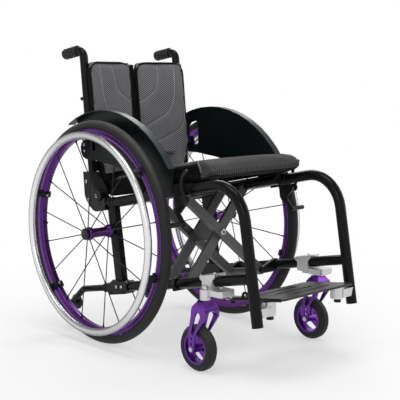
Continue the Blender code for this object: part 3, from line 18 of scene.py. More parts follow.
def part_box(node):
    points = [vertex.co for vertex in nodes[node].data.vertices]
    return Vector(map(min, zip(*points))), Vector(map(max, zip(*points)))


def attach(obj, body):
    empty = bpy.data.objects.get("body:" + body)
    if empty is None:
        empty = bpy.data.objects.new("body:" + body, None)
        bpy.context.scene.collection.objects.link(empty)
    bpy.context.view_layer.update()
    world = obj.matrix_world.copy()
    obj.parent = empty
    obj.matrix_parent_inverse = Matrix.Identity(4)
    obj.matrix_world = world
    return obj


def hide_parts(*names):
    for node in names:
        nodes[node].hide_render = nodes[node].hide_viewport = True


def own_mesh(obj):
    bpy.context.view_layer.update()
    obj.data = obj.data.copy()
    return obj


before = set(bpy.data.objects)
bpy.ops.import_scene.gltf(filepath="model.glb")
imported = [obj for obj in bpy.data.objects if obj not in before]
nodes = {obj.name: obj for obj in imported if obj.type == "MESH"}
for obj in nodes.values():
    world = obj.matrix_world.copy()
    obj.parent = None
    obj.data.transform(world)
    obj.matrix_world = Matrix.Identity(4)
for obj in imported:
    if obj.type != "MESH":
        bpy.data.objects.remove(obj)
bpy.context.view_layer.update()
scene = bpy.context.scene
SIDES = (("right", -1), ("left", 1))
X_AXIS = Vector((1, 0, 0))
print("rigid and soft nodes:", len(nodes))


def new_thing(name, data):
    """An object that shows this data, linked to the scene."""
    thing = bpy.data.objects.new(name, data)
    scene.collection.objects.link(thing)
    return thing


# %% [markdown]
# ## The camera
#
# The picture is taken from the chair's front right, a little above the seat, with a long lens
# that keeps the two wheels nearly the same size. The camera is set by its turn round the chair,
# its height angle and its distance, because those are what a photographer would note down.

# %% Camera
REAR_AXLE = Vector((0, 0.1393, 0.2948))
CAMERA_TURN = math.radians(-42.77)
CAMERA_RISE = math.radians(6.76)
CAMERA_ROLL = math.radians(-0.40)
CAMERA_AIM = Vector((-0.012, -0.200 + REAR_AXLE.y, 0.402))
CAMERA_DISTANCE = 2.427
LENS = 83.4
LENS_SHIFT = (-0.0225, -0.0218)

camera_data = bpy.data.cameras.new("studio_camera")
camera_data.sensor_width = 36
camera_data.lens = LENS
camera_data.shift_x, camera_data.shift_y = LENS_SHIFT
camera_data.clip_end = 60
camera = new_thing("studio_camera", camera_data)
away = Vector((math.sin(CAMERA_TURN) * math.cos(CAMERA_RISE),
               -math.cos(CAMERA_TURN) * math.cos(CAMERA_RISE),
               math.sin(CAMERA_RISE)))
level = Vector((math.cos(CAMERA_TURN), math.sin(CAMERA_TURN), 0))
upright = away.cross(level)
across = math.cos(CAMERA_ROLL) * level + math.sin(CAMERA_ROLL) * upright
upward = -math.sin(CAMERA_ROLL) * level + math.cos(CAMERA_ROLL) * upright
stand = Matrix((across, upward, away)).transposed().to_4x4()
stand.translation = CAMERA_AIM + away * CAMERA_DISTANCE
camera.matrix_world = stand
scene.camera = camera
print("camera at", [round(v, 3) for v in stand.translation])

# %% [markdown]
# ## Short words for the node editor
#
# Every finish below is a small graph. Two helpers keep those graphs readable: one adds a node
# and fills its inputs, and one starts a shader group with named inputs and outputs. A group is
# built once and used by every material that shows the same effect.

# %% Node helpers
def add(tree, kind, inputs=None, **settings):
    """Adds a shader node. An input given as a socket is wired, any other value is set."""
    made = tree.nodes.new("ShaderNode" + kind)
    for key, value in settings.items():
        setattr(made, key, value)
    for key, value in (inputs or {}).items():
        if isinstance(value, bpy.types.NodeSocket):
            tree.links.new(value, made.inputs[key])
        else:
            made.inputs[key].default_value = value
    return made


def calc(tree, operation, *values, clamp=False):
    """A Math node's output."""
    made = add(tree, "Math", dict(enumerate(values)), operation=operation, use_clamp=clamp)
    return made.outputs[0]


def spread(tree, value, low, high, to_low=0.0, to_high=1.0):
    """A Map Range node's output, held inside its range."""
    made = add(tree, "MapRange", {"Value": value, "From Min": low, "From Max": high,
                                  "To Min": to_low, "To Max": to_high})
    return made.outputs["Result"]


# %% Helpers for shader groups
def start_group(name, inputs, outputs):
    """A new shader group with its input and output nodes."""
    tree = bpy.data.node_groups.new(name, "ShaderNodeTree")
    for label, kind, default in inputs:
        socket = tree.interface.new_socket(label, in_out="INPUT", socket_type="NodeSocket" + kind)
        socket.default_value = default
    for label, kind in outputs:
        tree.interface.new_socket(label, in_out="OUTPUT", socket_type="NodeSocket" + kind)
    return tree, tree.nodes.new("NodeGroupInput").outputs, tree.nodes.new("NodeGroupOutput")


def put_out(tree, end, **results):
    """Wires results to the group's outputs; an underscore stands for a space."""
    for label, socket in results.items():
        tree.links.new(socket, end.inputs[label.replace("_", " ")])


def use(tree, group, **inputs):
    """Places a group in a material and returns its outputs."""
    made = tree.nodes.new("ShaderNodeGroup")
    made.node_tree = group
    for label, value in inputs.items():
        socket = made.inputs[label.replace("_", " ")]
        if isinstance(value, bpy.types.NodeSocket):
            tree.links.new(value, socket)
        else:
            socket.default_value = value
    return made.outputs


# %% A plain finish and its colours
def new_finish(name, colour, roughness, metallic=0.0, **extra):
    """A material with its Principled shader set to plain values, for a graph to build on."""
    material = bpy.data.materials.new(name)
    material.use_nodes = True
    shader = material.node_tree.nodes["Principled BSDF"]
    shader.inputs["Base Color"].default_value = (*colour, 1)
    shader.inputs["Roughness"].default_value = roughness
    shader.inputs["Metallic"].default_value = metallic
    for label, value in extra.items():
        shader.inputs[label.replace("_", " ")].default_value = value
    material.diffuse_color = (*colour, 1)
    return material, material.node_tree, shader


def mix_colour(tree, share, first, second):
    """A colour mix of two colours or sockets."""
    made = add(tree, "Mix", data_type="RGBA")
    for index, value in ((0, share), (6, first), (7, second)):
        if isinstance(value, bpy.types.NodeSocket):
            tree.links.new(value, made.inputs[index])
        elif index == 0:
            made.inputs[index].default_value = value
        else:
            made.inputs[index].default_value = (*value, 1)
    return made.outputs[2]


def noise(tree, scale, detail, **more):
    """A cloudy value that changes over the object; scale counts its clouds to the metre."""
    place = add(tree, "TexCoord").outputs["Object"]
    made = add(tree, "TexNoise", {"Vector": place, "Scale": scale, "Detail": detail, **more})
    return made.outputs["Fac"]


# %% [markdown]
# ## Effects that several finishes share
#
# Tubes and castings are never sharp: an edge has a small radius that catches the light, and
# paint there is rubbed brighter. The colour given to such edges is brighter than wear alone,
# so it is in part a painted highlight. The Bevel node finds such edges without changing the mesh.
# Turned metal shows fine rings round its own axis. Coated metal and moulded plastic show a
# fine grain. Handling leaves soft patches where the gloss differs. Faces that look up are paled,
# partly as fine dust and partly as a painted sheen of the light from above.

# %% Edge group
edge_group, given, end = start_group(
    "soft_edges", [("Radius", "Float", 0.0008), ("Break", "Float", 0.35)],
    [("Edge", "Float"), ("Normal", "Vector")])
rounded = add(edge_group, "Bevel", {"Radius": given["Radius"]}, samples=4)
facing = add(edge_group, "NewGeometry")
likeness = add(edge_group, "VectorMath", {0: rounded.outputs[0], 1: facing.outputs["Normal"]},
               operation="DOT_PRODUCT")
turn = spread(edge_group, likeness.outputs["Value"], 0.995, 0.90)
broken = spread(edge_group, noise(edge_group, 90.0, 3.0), 0.35, 0.65)
kept = calc(edge_group, "SUBTRACT", 1.0, calc(edge_group, "MULTIPLY", broken, given["Break"]))
put_out(edge_group, end, Edge=calc(edge_group, "MULTIPLY", turn, kept, clamp=True),
        Normal=rounded.outputs[0])

# %% Grain group
grain_group, given, end = start_group(
    "fine_grain", [("Scale", "Float", 900.0)], [("Height", "Float")])
place = add(grain_group, "TexCoord")
cells = add(grain_group, "TexVoronoi", {"Vector": place.outputs["Object"],
                                        "Scale": given["Scale"]})
dapple = noise(grain_group, calc(grain_group, "MULTIPLY", given["Scale"], 0.4), 2.0)
put_out(grain_group, end, Height=calc(grain_group, "ADD", cells.outputs["Distance"], dapple))

# %% Handling group
handling_group, given, end = start_group(
    "handling", [("Low", "Float", 0.3), ("High", "Float", 0.4), ("Scale", "Float", 14.0)],
    [("Roughness", "Float"), ("Patch", "Float")])
cloud = noise(handling_group, given["Scale"], 5.0, Roughness=0.62)
patch = spread(handling_group, cloud, 0.34, 0.66)
gap = calc(handling_group, "SUBTRACT", given["High"], given["Low"])
put_out(handling_group, end, Patch=patch,
        Roughness=calc(handling_group, "MULTIPLY_ADD", patch, gap, given["Low"]))

# %% Turning group
turning_group, given, end = start_group(
    "turning_marks", [("Axis", "Vector", (0.0, 0.0, 0.0)), ("Pitch", "Float", 0.0006)],
    [("Height", "Float")])
place = add(turning_group, "TexCoord")
arm = add(turning_group, "VectorMath", {0: place.outputs["Object"], 1: given["Axis"]},
          operation="SUBTRACT")
part = add(turning_group, "SeparateXYZ", {0: arm.outputs[0]})
reach = calc(turning_group, "SQRT", calc(
    turning_group, "ADD", calc(turning_group, "POWER", part.outputs["Y"], 2.0),
    calc(turning_group, "POWER", part.outputs["Z"], 2.0)))
where = add(turning_group, "CombineXYZ", {0: calc(turning_group, "DIVIDE", reach, given["Pitch"]),
                                          1: calc(turning_group, "DIVIDE", part.outputs["X"],
                                                  given["Pitch"])})
rings = add(turning_group, "TexNoise", {"Vector": where.outputs[0], "Scale": 1.0, "Detail": 2.0},
            noise_dimensions="2D")
put_out(turning_group, end, Height=rings.outputs["Fac"])

# %% Dust and painted sheen group
dust_and_sheen_group, given, end = start_group(
    "settled_dust_and_painted_sheen", [("Normal", "Vector", (0.0, 0.0, 1.0)), ("Low", "Float", 0.30),
                     ("High", "Float", 0.95)], [("Dust", "Float")])
facing_up = add(dust_and_sheen_group, "SeparateXYZ", {0: given["Normal"]})
# How far a face looks up sets its share of dust and painted sheen.
lying = spread(dust_and_sheen_group, facing_up.outputs["Z"], given["Low"], given["High"])
uneven = spread(dust_and_sheen_group, noise(dust_and_sheen_group, 26.0, 4.0), 0.3, 0.7, 0.72, 1.0)
put_out(dust_and_sheen_group, end, Dust=calc(dust_and_sheen_group, "MULTIPLY", lying, uneven))
print("shared groups:", [g.name for g in bpy.data.node_groups])

# %% [markdown]
# ## Metal finishes
#
# The side frames are satin black, nearly mirror-like along their length under a soft light.
# The cross brace is a lighter graphite. Clamps and footplate posts are bare cast alloy. The
# rims, hubs and forks are dyed purple in the metal itself, so the colour is in the reflection
# and not under a clear coat. They are one metal, but the forks and caster rims are given a
# lighter purple than the rear rims and hubs: painted light and shade, since the lamps fall
# more on the forks. One function builds the coated and cast ones, because they differ only in
# colour, gloss and grain, and a second one adds the fine rings that a lathe leaves.

# %% What every finish needs
def shade_of(colour, times, plus=0.0):
    """A lighter or darker shade of a colour."""
    return [min(1.0, c * times + plus) for c in colour]


def handled(tree, surface, share, first, second):
    """A colour that turns towards a second one where hands and dirt have been."""
    return mix_colour(tree, calc(tree, "MULTIPLY", surface["Patch"], share), first, second)


def wire_finish(tree, shader, tint, surface, **relief):
    """Wires a finish's colour, its gloss and its relief to the shader."""
    bump = add(tree, "Bump", relief)
    tree.links.new(tint, shader.inputs["Base Color"])
    tree.links.new(surface["Roughness"], shader.inputs["Roughness"])
    tree.links.new(bump.outputs[0], shader.inputs["Normal"])


# %% Metal finishes
METAL_GRAIN = 0.00012


def coated_metal(name, colour, gloss, metallic, edge_wear_and_highlight, edge=0.0007, **extra):
    """Painted, anodised or bare metal: grain, handling, and soft edges in another colour, partly
    wear and partly a painted highlight.
    """
    material, tree, shader = new_finish(name, colour, gloss[0], metallic, **extra)
    edges = use(tree, edge_group, Radius=edge, Break=0.25)
    surface = use(tree, handling_group, Low=gloss[0], High=gloss[1])
    pores = use(tree, grain_group, Scale=1100.0)
    tint = handled(tree, surface, 0.35, colour, shade_of(colour, 1.35, 0.002))
    # Edges turn to a brighter colour: partly wear, partly a painted highlight.
    tint = mix_colour(tree, edges["Edge"], tint, edge_wear_and_highlight)
    wire_finish(tree, shader, tint, surface, Height=pores["Height"], Distance=METAL_GRAIN,
                Strength=0.35, Normal=edges["Normal"])
    return material


FRAME_BLACK = (0.0050, 0.0050, 0.0058)
GRAPHITE = (0.100, 0.100, 0.102)
ALLOY = (0.58, 0.58, 0.59)
# The forks' and caster rims' purple is lighter than the rear rims' of the same metal: painted
# light.
LIT_PURPLE = (0.140, 0.036, 0.300)
frame_coat = coated_metal("satin_black_frame", FRAME_BLACK, (0.19, 0.27), 0.0,
                          (0.026, 0.026, 0.028), Specular_IOR_Level=0.12)
# The brace's pale edge colour is partly wear and partly a painted highlight.
brace_coat = coated_metal("graphite_brace", GRAPHITE, (0.32, 0.42), 0.15, (0.52, 0.52, 0.53),
                          edge=0.0016, Specular_IOR_Level=0.30)
footplate_coat = coated_metal("footplate_coat", (0.0120, 0.0120, 0.0125), (0.32, 0.42), 0.0,
                              (0.050, 0.050, 0.052), edge=0.0010, Specular_IOR_Level=0.36)
bare_alloy = coated_metal("bare_alloy", ALLOY, (0.30, 0.42), 0.80, (0.68, 0.69, 0.70))
bright_steel = coated_metal("bright_steel", (0.52, 0.52, 0.54), (0.20, 0.32), 1.0,
                            (0.72, 0.72, 0.74))
lit_purple_metal = coated_metal("purple_anodised_painted_lighter", LIT_PURPLE, (0.24, 0.34), 0.85,
                            (0.26, 0.11, 0.42))
black_metal = coated_metal("black_fittings", (0.0070, 0.0070, 0.0075), (0.28, 0.40), 0.0,
                           (0.045, 0.045, 0.048), Specular_IOR_Level=0.22)


def turned_metal(name, colour, gloss, metallic, centre, edge_wear_and_highlight, marks=0.00006, edge=0.0006,
                 patches=0.3, painted_dark_outline=None):
    """Metal turned on a lathe about an axis along X through centre, then dyed or polished.

    The last argument is a colour painted towards a polished round's outline, where it is seen
    aslant: a painted reflection of the dark part of a room.
    """
    material, tree, shader = new_finish(name, colour, gloss[0], metallic)
    edges = use(tree, edge_group, Radius=edge)
    surface = use(tree, handling_group, Low=gloss[0], High=gloss[1])
    rings = use(tree, turning_group, Axis=centre, Pitch=0.0007)
    tint = handled(tree, surface, patches, colour, shade_of(colour, 1.25))
    # Painted reflection: the colour darkens towards the outline, the more aslant it is seen.
    if painted_dark_outline:
        slope = add(tree, "LayerWeight", {"Blend": 0.5})
        tint = mix_colour(tree, spread(tree, slope.outputs["Facing"], 0.24, 0.80), tint,
                          painted_dark_outline)
    # Edges turn to another colour: partly wear, partly a painted highlight.
    tint = mix_colour(tree, edges["Edge"], tint, edge_wear_and_highlight)
    wire_finish(tree, shader, tint, surface, Height=rings["Height"], Distance=marks,
                Strength=0.5, Normal=edges["Normal"])
    return material


# The rear rims and hubs keep a darker purple than the forks of the same metal: painted shade.
rim_metal = turned_metal("purple_turned_rim", (0.105, 0.024, 0.190), (0.24, 0.34), 0.80,
                         REAR_AXLE, (0.24, 0.10, 0.38))
# The handrim's dark outline is a painted reflection.
handrim_metal = turned_metal("satin_handrim", (0.80, 0.80, 0.81), (0.25, 0.28), 0.85,
                             REAR_AXLE, (0.80, 0.80, 0.81), marks=0.000003, edge=0.0010,
                             patches=0.04, painted_dark_outline=(0.04, 0.045, 0.05))
print("metals:", len(bpy.data.materials))

# %% [markdown]
# ## Plastic and rubber
#
# The side guards are moulded in a deep blue-black with a satin sheen. The grips and end plugs
# are softer and duller. Tyre rubber is grey-black, dry, and a little dusty. On the guards and
# tyres the faces that look up are paled: partly dust, partly a painted sheen.

# %% Plastic and rubber finishes
def moulded(name, colour, gloss, grain, edge_wear_and_highlight, scale=900.0, edge=0.0009, dust_and_sheen=None, **extra):
    """A moulded surface with a stippled grain, paler edges that are partly a painted highlight,
    and a pale tint where it faces up, partly dust and partly a painted sheen.

    The dust and sheen argument gives that tint's colour, and how far up a face looks where it
    starts and where it is full.
    """
    material, tree, shader = new_finish(name, colour, gloss[0], **extra)
    edges = use(tree, edge_group, Radius=edge, Break=0.2)
    surface = use(tree, handling_group, Low=gloss[0], High=gloss[1], Scale=9.0)
    stipple = use(tree, grain_group, Scale=scale)
    tint = handled(tree, surface, 0.4, colour, shade_of(colour, 1.5, 0.003))
    # Edges turn to a paler colour: partly wear, partly a painted highlight.
    tint = mix_colour(tree, edges["Edge"], tint, edge_wear_and_highlight)
    if dust_and_sheen:
        # Faces that look up turn paler: partly dust, partly a painted sheen of the light from
        # above.
        dust_sheen_share = use(tree, dust_and_sheen_group, Normal=edges["Normal"], Low=dust_and_sheen[1], High=dust_and_sheen[2])
        tint = mix_colour(tree, dust_sheen_share["Dust"], tint, dust_and_sheen[0])
    wire_finish(tree, shader, tint, surface, Height=stipple["Height"], Distance=grain,
                Strength=0.5, Normal=edges["Normal"])
    return material


# The guard's pale tint on faces that look up is partly dust, partly a painted sheen.
guard_plastic = moulded("guard_plastic", (0.0030, 0.0052, 0.0060), (0.30, 0.38), 0.00008,
                        (0.006, 0.010, 0.011), edge=0.0032,
                        dust_and_sheen=((0.085, 0.098, 0.103), 0.38, 0.98), Specular_IOR_Level=0.14)
black_plastic = moulded("black_plastic", (0.0075, 0.0075, 0.0080), (0.40, 0.54), 0.00022,
                        (0.030, 0.030, 0.032), 700.0, Specular_IOR_Level=0.25)
grip_rubber = moulded("grip_rubber", (0.0090, 0.0090, 0.0095), (0.50, 0.66), 0.00030,
                      (0.030, 0.030, 0.032), 600.0, Specular_IOR_Level=0.25)
# The tyre's pale tint on faces that look up is partly dust, partly a painted sheen.
tyre_rubber = moulded("tyre_rubber", (0.0140, 0.0140, 0.0138), (0.50, 0.64), 0.00025,
                      (0.024, 0.024, 0.024), 500.0, dust_and_sheen=((0.095, 0.095, 0.090), 0.3, 1.0),
                      Specular_IOR_Level=0.25)

# %% [markdown]
# ## Dressing the frame's parts
#
# Every node of the frame gets one finish, looked up by its name without its side. A few parts
# need a second one on some of their faces: the fork's stem and axle bolt are steel, and the
# plug in the footplate's post is plastic. They could be objects of their own, but in the frame
# they are fused to their part, so the faces are told apart by where they lie.

# %% Finishes on the rigid parts
FINISH_OF = {
    "front_frame_tube": frame_coat, "lower_side_tube": frame_coat, "axle_upright": frame_coat,
    "lower_clamp": black_metal, "axle_pin": bright_steel, "quick_release_button": black_metal,
    "back_cane": frame_coat, "push_grip": grip_rubber, "back_bracket": black_metal,
    "side_guard": guard_plastic, "brake_mount": black_metal, "brake_lever": black_metal,
    "brake_shoe_arm": black_metal, "caster_clamp": bare_alloy, "caster_fork": lit_purple_metal,
    "caster_rim": lit_purple_metal, "caster_tyre": tyre_rubber, "footplate_block": bare_alloy,
    "pivot_block": black_metal, "anti_tip_tube": frame_coat, "anti_tip_wheel": black_plastic,
    "tyre": tyre_rubber, "rim": rim_metal, "hub_spokes": lit_purple_metal,
    "handrim": handrim_metal, "seat_rail": frame_coat, "footplate": footplate_coat,
    "brace_inner": brace_coat, "brace_outer": brace_coat,
}
for name, node in nodes.items():
    kind = name.removesuffix("_right").removesuffix("_left")
    if kind in FINISH_OF:
        node.data.materials.clear()
        node.data.materials.append(FINISH_OF[kind])
print("dressed nodes:", sum(len(n.data.materials) > 0 for n in nodes.values()))


# %% Second finishes on parts of a piece
def paint_where(name, finish, chosen):
    """Gives the faces of a frame part whose middle is chosen another finish."""
    mesh = nodes[name].data
    mesh.materials.append(finish)
    picked = [face for face in mesh.polygons if chosen(face.center)]
    for face in picked:
        face.material_index = len(mesh.materials) - 1
    return len(picked)


CROWN_TOP, CASTER_X, FORK_OUTER = 0.1755, 0.2036, 0.0240
POST_BOTTOM = 0.1490
JUST_PAST = 0.0004
for word, side in SIDES:
    stem = paint_where("caster_fork_" + word, bright_steel,
                       lambda at: at.z > CROWN_TOP + JUST_PAST)
    bolt = paint_where("caster_fork_" + word, bright_steel,
                       lambda at: abs(at.x - side * CASTER_X) > FORK_OUTER + JUST_PAST)
    plug = paint_where("footplate_block_" + word, black_plastic,
                       lambda at: at.z < POST_BOTTOM - JUST_PAST / 2)
    print(word, "stem, bolt and plug faces:", stem, bolt, plug)

# %% [markdown]
# ## Round parts that look round
#
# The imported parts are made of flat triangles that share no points, so a bent tube would show
# its facets. Moving points is not allowed, and is not needed: one modifier welds points that
# lie together, a second parts them again where a corner is truly sharp, and a third leans the
# normals towards the large faces, as a machined part with a small edge radius has them. The
# forks are cast with wide rounds, so only their sharpest corners stay.

# %% Smooth shading on the frame's parts
SHARP, SHARP_ON_FORK = 34, 62


def smooth_faces(mesh):
    """Sets every face of a mesh to smooth shading."""
    mesh.polygons.foreach_set("use_smooth", [True] * len(mesh.polygons))


def shade_round(part, sharp):
    """Shades a frame part smoothly, except over corners sharper than this many degrees."""
    smooth_faces(part.data)
    part.modifiers.new("join_points", "WELD").merge_threshold = 1e-5
    part.modifiers.new("keep_corners", "EDGE_SPLIT").split_angle = math.radians(sharp)
    part.modifiers.new("even_normals", "WEIGHTED_NORMAL")


for name, node in nodes.items():
    shade_round(node, SHARP_ON_FORK if name.startswith("caster_fork") else SHARP)
print("smoothly shaded:", len(nodes))

# %% [markdown]
# ## Shapes made from a section
#
# Most of a wheelchair is a section that was turned, drawn along a line, or cut from plate. So
# each helper below returns one such form as points and faces, and one more joins forms into a
# single piece. Corners of a section are rounded first, since no real edge is sharp.

# %% Rounded corners
def fillet(points, radius, steps):
    """Rounds every corner of a closed flat outline."""
    softened = []
    for i, corner in enumerate(points):
        corner = Vector(corner)
        before = Vector(points[i - 1]) - corner
        after = Vector(points[(i + 1) % len(points)]) - corner
        reach = min(radius, before.length * 0.45, after.length * 0.45)
        first = corner + before.normalized() * reach
        last = corner + after.normalized() * reach
        for k in range(steps + 1):
            t = k / steps
            softened.append(first * (1 - t) ** 2 + corner * 2 * t * (1 - t) + last * t * t)
    return softened


# %% Faces between rows of points
def grid_faces(rows, count, joined=True):
    """Quads between rows of count points each; joined closes the last row to the first."""
    faces = []
    for j in range(rows if joined else rows - 1):
        near, far = j * count, (j + 1) % rows * count
        for i in range(count):
            nxt = (i + 1) % count
            faces.append((near + i, near + nxt, far + nxt, far + i))
    return faces


def capped_faces(rows, count):
    """Quads between rows of points that end in a face at the first and at the last row."""
    last = (rows - 1) * count
    ends = [tuple(range(count)), tuple(reversed(range(last, last + count)))]
    return grid_faces(rows, count, joined=False) + ends


# %% Rings, rods and bolt heads
def turned_ring(profile, centre, segments, lift=None):
    """A closed section of (radius, x) turned about an axis along X through centre."""
    points = []
    for k in range(segments):
        a = math.tau * k / segments
        for i, (radius, x) in enumerate(profile):
            r = radius + (lift(k, i) if lift else 0.0)
            points.append(centre + Vector((x, r * math.cos(a), r * math.sin(a))))
    return points, grid_faces(segments, len(profile))


def drawn_rod(start, end, stations, sides=16):
    """A round rod from start to end; stations are (share of its length, radius)."""
    start, end = Vector(start), Vector(end)
    line = (end - start).normalized()
    aside = line.orthogonal().normalized()
    other = line.cross(aside)
    points = []
    for share, radius in stations:
        centre = start.lerp(end, share)
        for k in range(sides):
            a = math.tau * k / sides
            points.append(centre + (aside * math.cos(a) + other * math.sin(a)) * radius)
    return points, capped_faces(len(stations), sides)


def bolt_head(foot, outward, radius, height, sides=16):
    """A domed socket head that stands on foot and looks outward."""
    out = Vector(outward).normalized()
    shape = ((0, 0.97), (0.45, 1.0), (0.80, 0.90), (1.0, 0.62), (1.0, 0.50), (0.72, 0.48))
    return drawn_rod(foot, Vector(foot) + out * height, [(h, radius * r) for h, r in shape], sides)


# %% Tubes along a path
def swept_tube(path, radius, sides, flat=1.0, up=None):
    """A tube along a path of points. flat widens it along up."""
    points, aside = [], None
    for i, here in enumerate(path):
        line = (path[min(i + 1, len(path) - 1)] - path[max(i - 1, 0)]).normalized()
        if up is not None:
            aside = Vector(up)
        elif aside is None:
            aside = line.orthogonal()
        aside = (aside - line * aside.dot(line)).normalized()
        other = line.cross(aside)
        for k in range(sides):
            a = math.tau * k / sides
            points.append(here + (aside * math.cos(a) * flat + other * math.sin(a)) * radius)
    return points, capped_faces(len(path), sides)


# %% One piece from several forms
def piece(name, forms, finish, body, smooth=40, bevel=0.0, stands_for=None):
    """Joins forms into one named piece with a finish, and lets it ride on a body.

    smooth is the sharpest corner, in degrees, that is shaded round; bevel rounds its edges.
    """
    mesh = bpy.data.meshes.new(name)
    points, faces = [], []
    for form_points, form_faces in forms:
        faces.extend(tuple(len(points) + i for i in f) for f in form_faces)
        points.extend(form_points)
    mesh.from_pydata(points, [], faces)
    tidy = bmesh.new()
    tidy.from_mesh(mesh)
    bmesh.ops.recalc_face_normals(tidy, faces=tidy.faces)
    tidy.to_mesh(mesh)
    tidy.free()
    made = new_thing(name, mesh)
    if bevel:
        rounding = made.modifiers.new("rounding", "BEVEL")
        rounding.width = bevel
        rounding.segments = 2
        rounding.angle_limit = math.radians(40)
        work_in(made)
        mesh = made.data
    smooth_faces(mesh)
    mesh.set_sharp_from_angle(angle=math.radians(smooth))
    mesh.materials.append(finish)
    if stands_for:
        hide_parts(stands_for)
    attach(made, body)
    return made


def work_in(thing):
    """Turns a thing's modifiers into mesh."""
    graph = bpy.context.evaluated_depsgraph_get()
    thing.data = bpy.data.meshes.new_from_object(thing.evaluated_get(graph))
    thing.modifiers.clear()


# %% [markdown]
# ## The rear wheels
#
# Each wheel is a slim tyre on a deep purple rim, laced to its hub with eighteen thin black
# spokes, nine from each flange. The frame's own wheels have few sides, so here each ring is
# turned again with many. The tyre's tread is cut into the mesh: fine grooves across its
# shoulders, which a light from above picks out.

# %% Sizes of the wheel
TRACK_HALF = 0.2267
TYRE_TOP = REAR_AXLE.z
TYRE_SEAT = 0.2736
RIM_INNER = 0.2531
RIM_HALF = 0.0115
HUB_IN, HUB_OUT = 0.1850, 0.2615
FLANGE, BARREL, BORE = 0.0178, 0.0122, 0.0069
SPOKES = 9
SPOKE_TURN = math.radians(7.7)
SPOKE_THIN = 0.0014
NIPPLE = ((0.0105, 0.0012), (0.0098, 0.0019), (0.0030, 0.0020), (0.0024, 0.0032), (0, 0.0033))
VALVE = ((0, 0.0046), (0.10, 0.0046), (0.12, 0.0028), (0.40, 0.0028), (0.42, 0.0034),
         (0.96, 0.0032), (1, 0.0026))
VALVE_LONG = 0.0135


def on_wheel(side, x, radius, angle, along=0.0):
    """A point of a rear wheel: x out from the chair's middle, then radius, angle, tangent."""
    away = Vector((0, math.cos(angle), math.sin(angle)))
    beside = Vector((0, -math.sin(angle), math.cos(angle)))
    return REAR_AXLE + X_AXIS * side * x + away * radius + beside * along


# %% Tyres
TREAD_CUTS = 264
CASING_R = 0.0127
CASING_HALF = 0.0128
CASING_ROUND = 128
BEAD_R, BEAD_HALF = TYRE_SEAT + 0.0006, 0.0092
CUT_DEEP, SHOULDER_DEEP = 0.0006, 0.0007
casing = []
for i in range(33):
    phi = math.radians(CASING_ROUND * (i / 16 - 1))
    casing.append((TYRE_TOP - CASING_R + CASING_R * math.cos(phi), CASING_HALF * math.sin(phi)))
casing = [(BEAD_R, -BEAD_HALF)] + casing + [(BEAD_R, BEAD_HALF)]


def tread(k, i):
    """How far a point of the casing is cut in: slanting cuts on the shoulders, two grooves."""
    place = i - len(casing) // 2
    aside = abs(place)
    if aside in (2, 7) or (2 < aside < 7 and (k + place) % 6 == 0):
        return -CUT_DEEP
    if 7 < aside < 12 and (k - 2 * aside) % 8 < 2:
        return -SHOULDER_DEEP
    return 0.0


for word, side in SIDES:
    centre = REAR_AXLE + X_AXIS * side * TRACK_HALF
    piece("road_tyre_" + word, [turned_ring(casing, centre, TREAD_CUTS, tread)], tyre_rubber,
          "wheel_" + word, 60, stands_for="tyre_" + word)
print("points of a tyre:", len(casing) * TREAD_CUTS)

# %% Rims with valve and nipples
wall = [(TYRE_SEAT, 0.0113), (0.2724, 0.0119), (0.2708, 0.0116), (0.2703, 0.0109),
        (0.2696, 0.0109), (0.2692, 0.0115), (0.2632, 0.0116), (0.2622, 0.0120),
        (0.2612, 0.0113), (0.2572, 0.0103), (0.2545, 0.0086), (RIM_INNER, 0.0052)]
rim_section = fillet(wall + [(r, -x) for r, x in reversed(wall)], 0.0007, 2)


def spoke_ends(side, i, outer):
    """Where spoke i of a flange leaves the hub and where it meets the rim."""
    pitch = math.tau / SPOKES
    if outer:
        angle, swing = SPOKE_TURN + pitch * i, 0.0
        hub_x, rim_x = HUB_OUT - 0.004, TRACK_HALF + 0.004
    else:
        angle, swing = SPOKE_TURN + pitch * (i + 0.5), 0.25
        hub_x, rim_x = HUB_IN + 0.0055, TRACK_HALF - 0.004
    return (on_wheel(side, hub_x, FLANGE - 0.0035, angle + swing),
            on_wheel(side, rim_x, RIM_INNER + 0.0006, angle))


for word, side in SIDES:
    centre = REAR_AXLE + X_AXIS * side * TRACK_HALF
    piece("deep_rim_" + word, [turned_ring(rim_section, centre, 160)], rim_metal,
          "wheel_" + word, 24, stands_for="rim_" + word)
    spokes, nipples = [], []
    for i in range(SPOKES):
        for outer in (True, False):
            foot, top = spoke_ends(side, i, outer)
            spokes.append(drawn_rod(foot, top, ((0, SPOKE_THIN), (1, SPOKE_THIN)), 10))
            long = (top - foot).length
            nipple = [(1 - short / long, radius) for short, radius in NIPPLE]
            nipples.append(drawn_rod(foot, top, nipple, 10))
    stem = on_wheel(side, TRACK_HALF, RIM_INNER + 0.001, 0)
    tip = on_wheel(side, TRACK_HALF, RIM_INNER + 0.001 - VALVE_LONG, 0)
    nipples.append(drawn_rod(stem, tip, VALVE, 18))
    piece("spokes_" + word, spokes, black_metal, "wheel_" + word)
    piece("nipples_and_valve_" + word, nipples, black_metal, "wheel_" + word, 35)
    print(word, "spokes:", len(spokes))

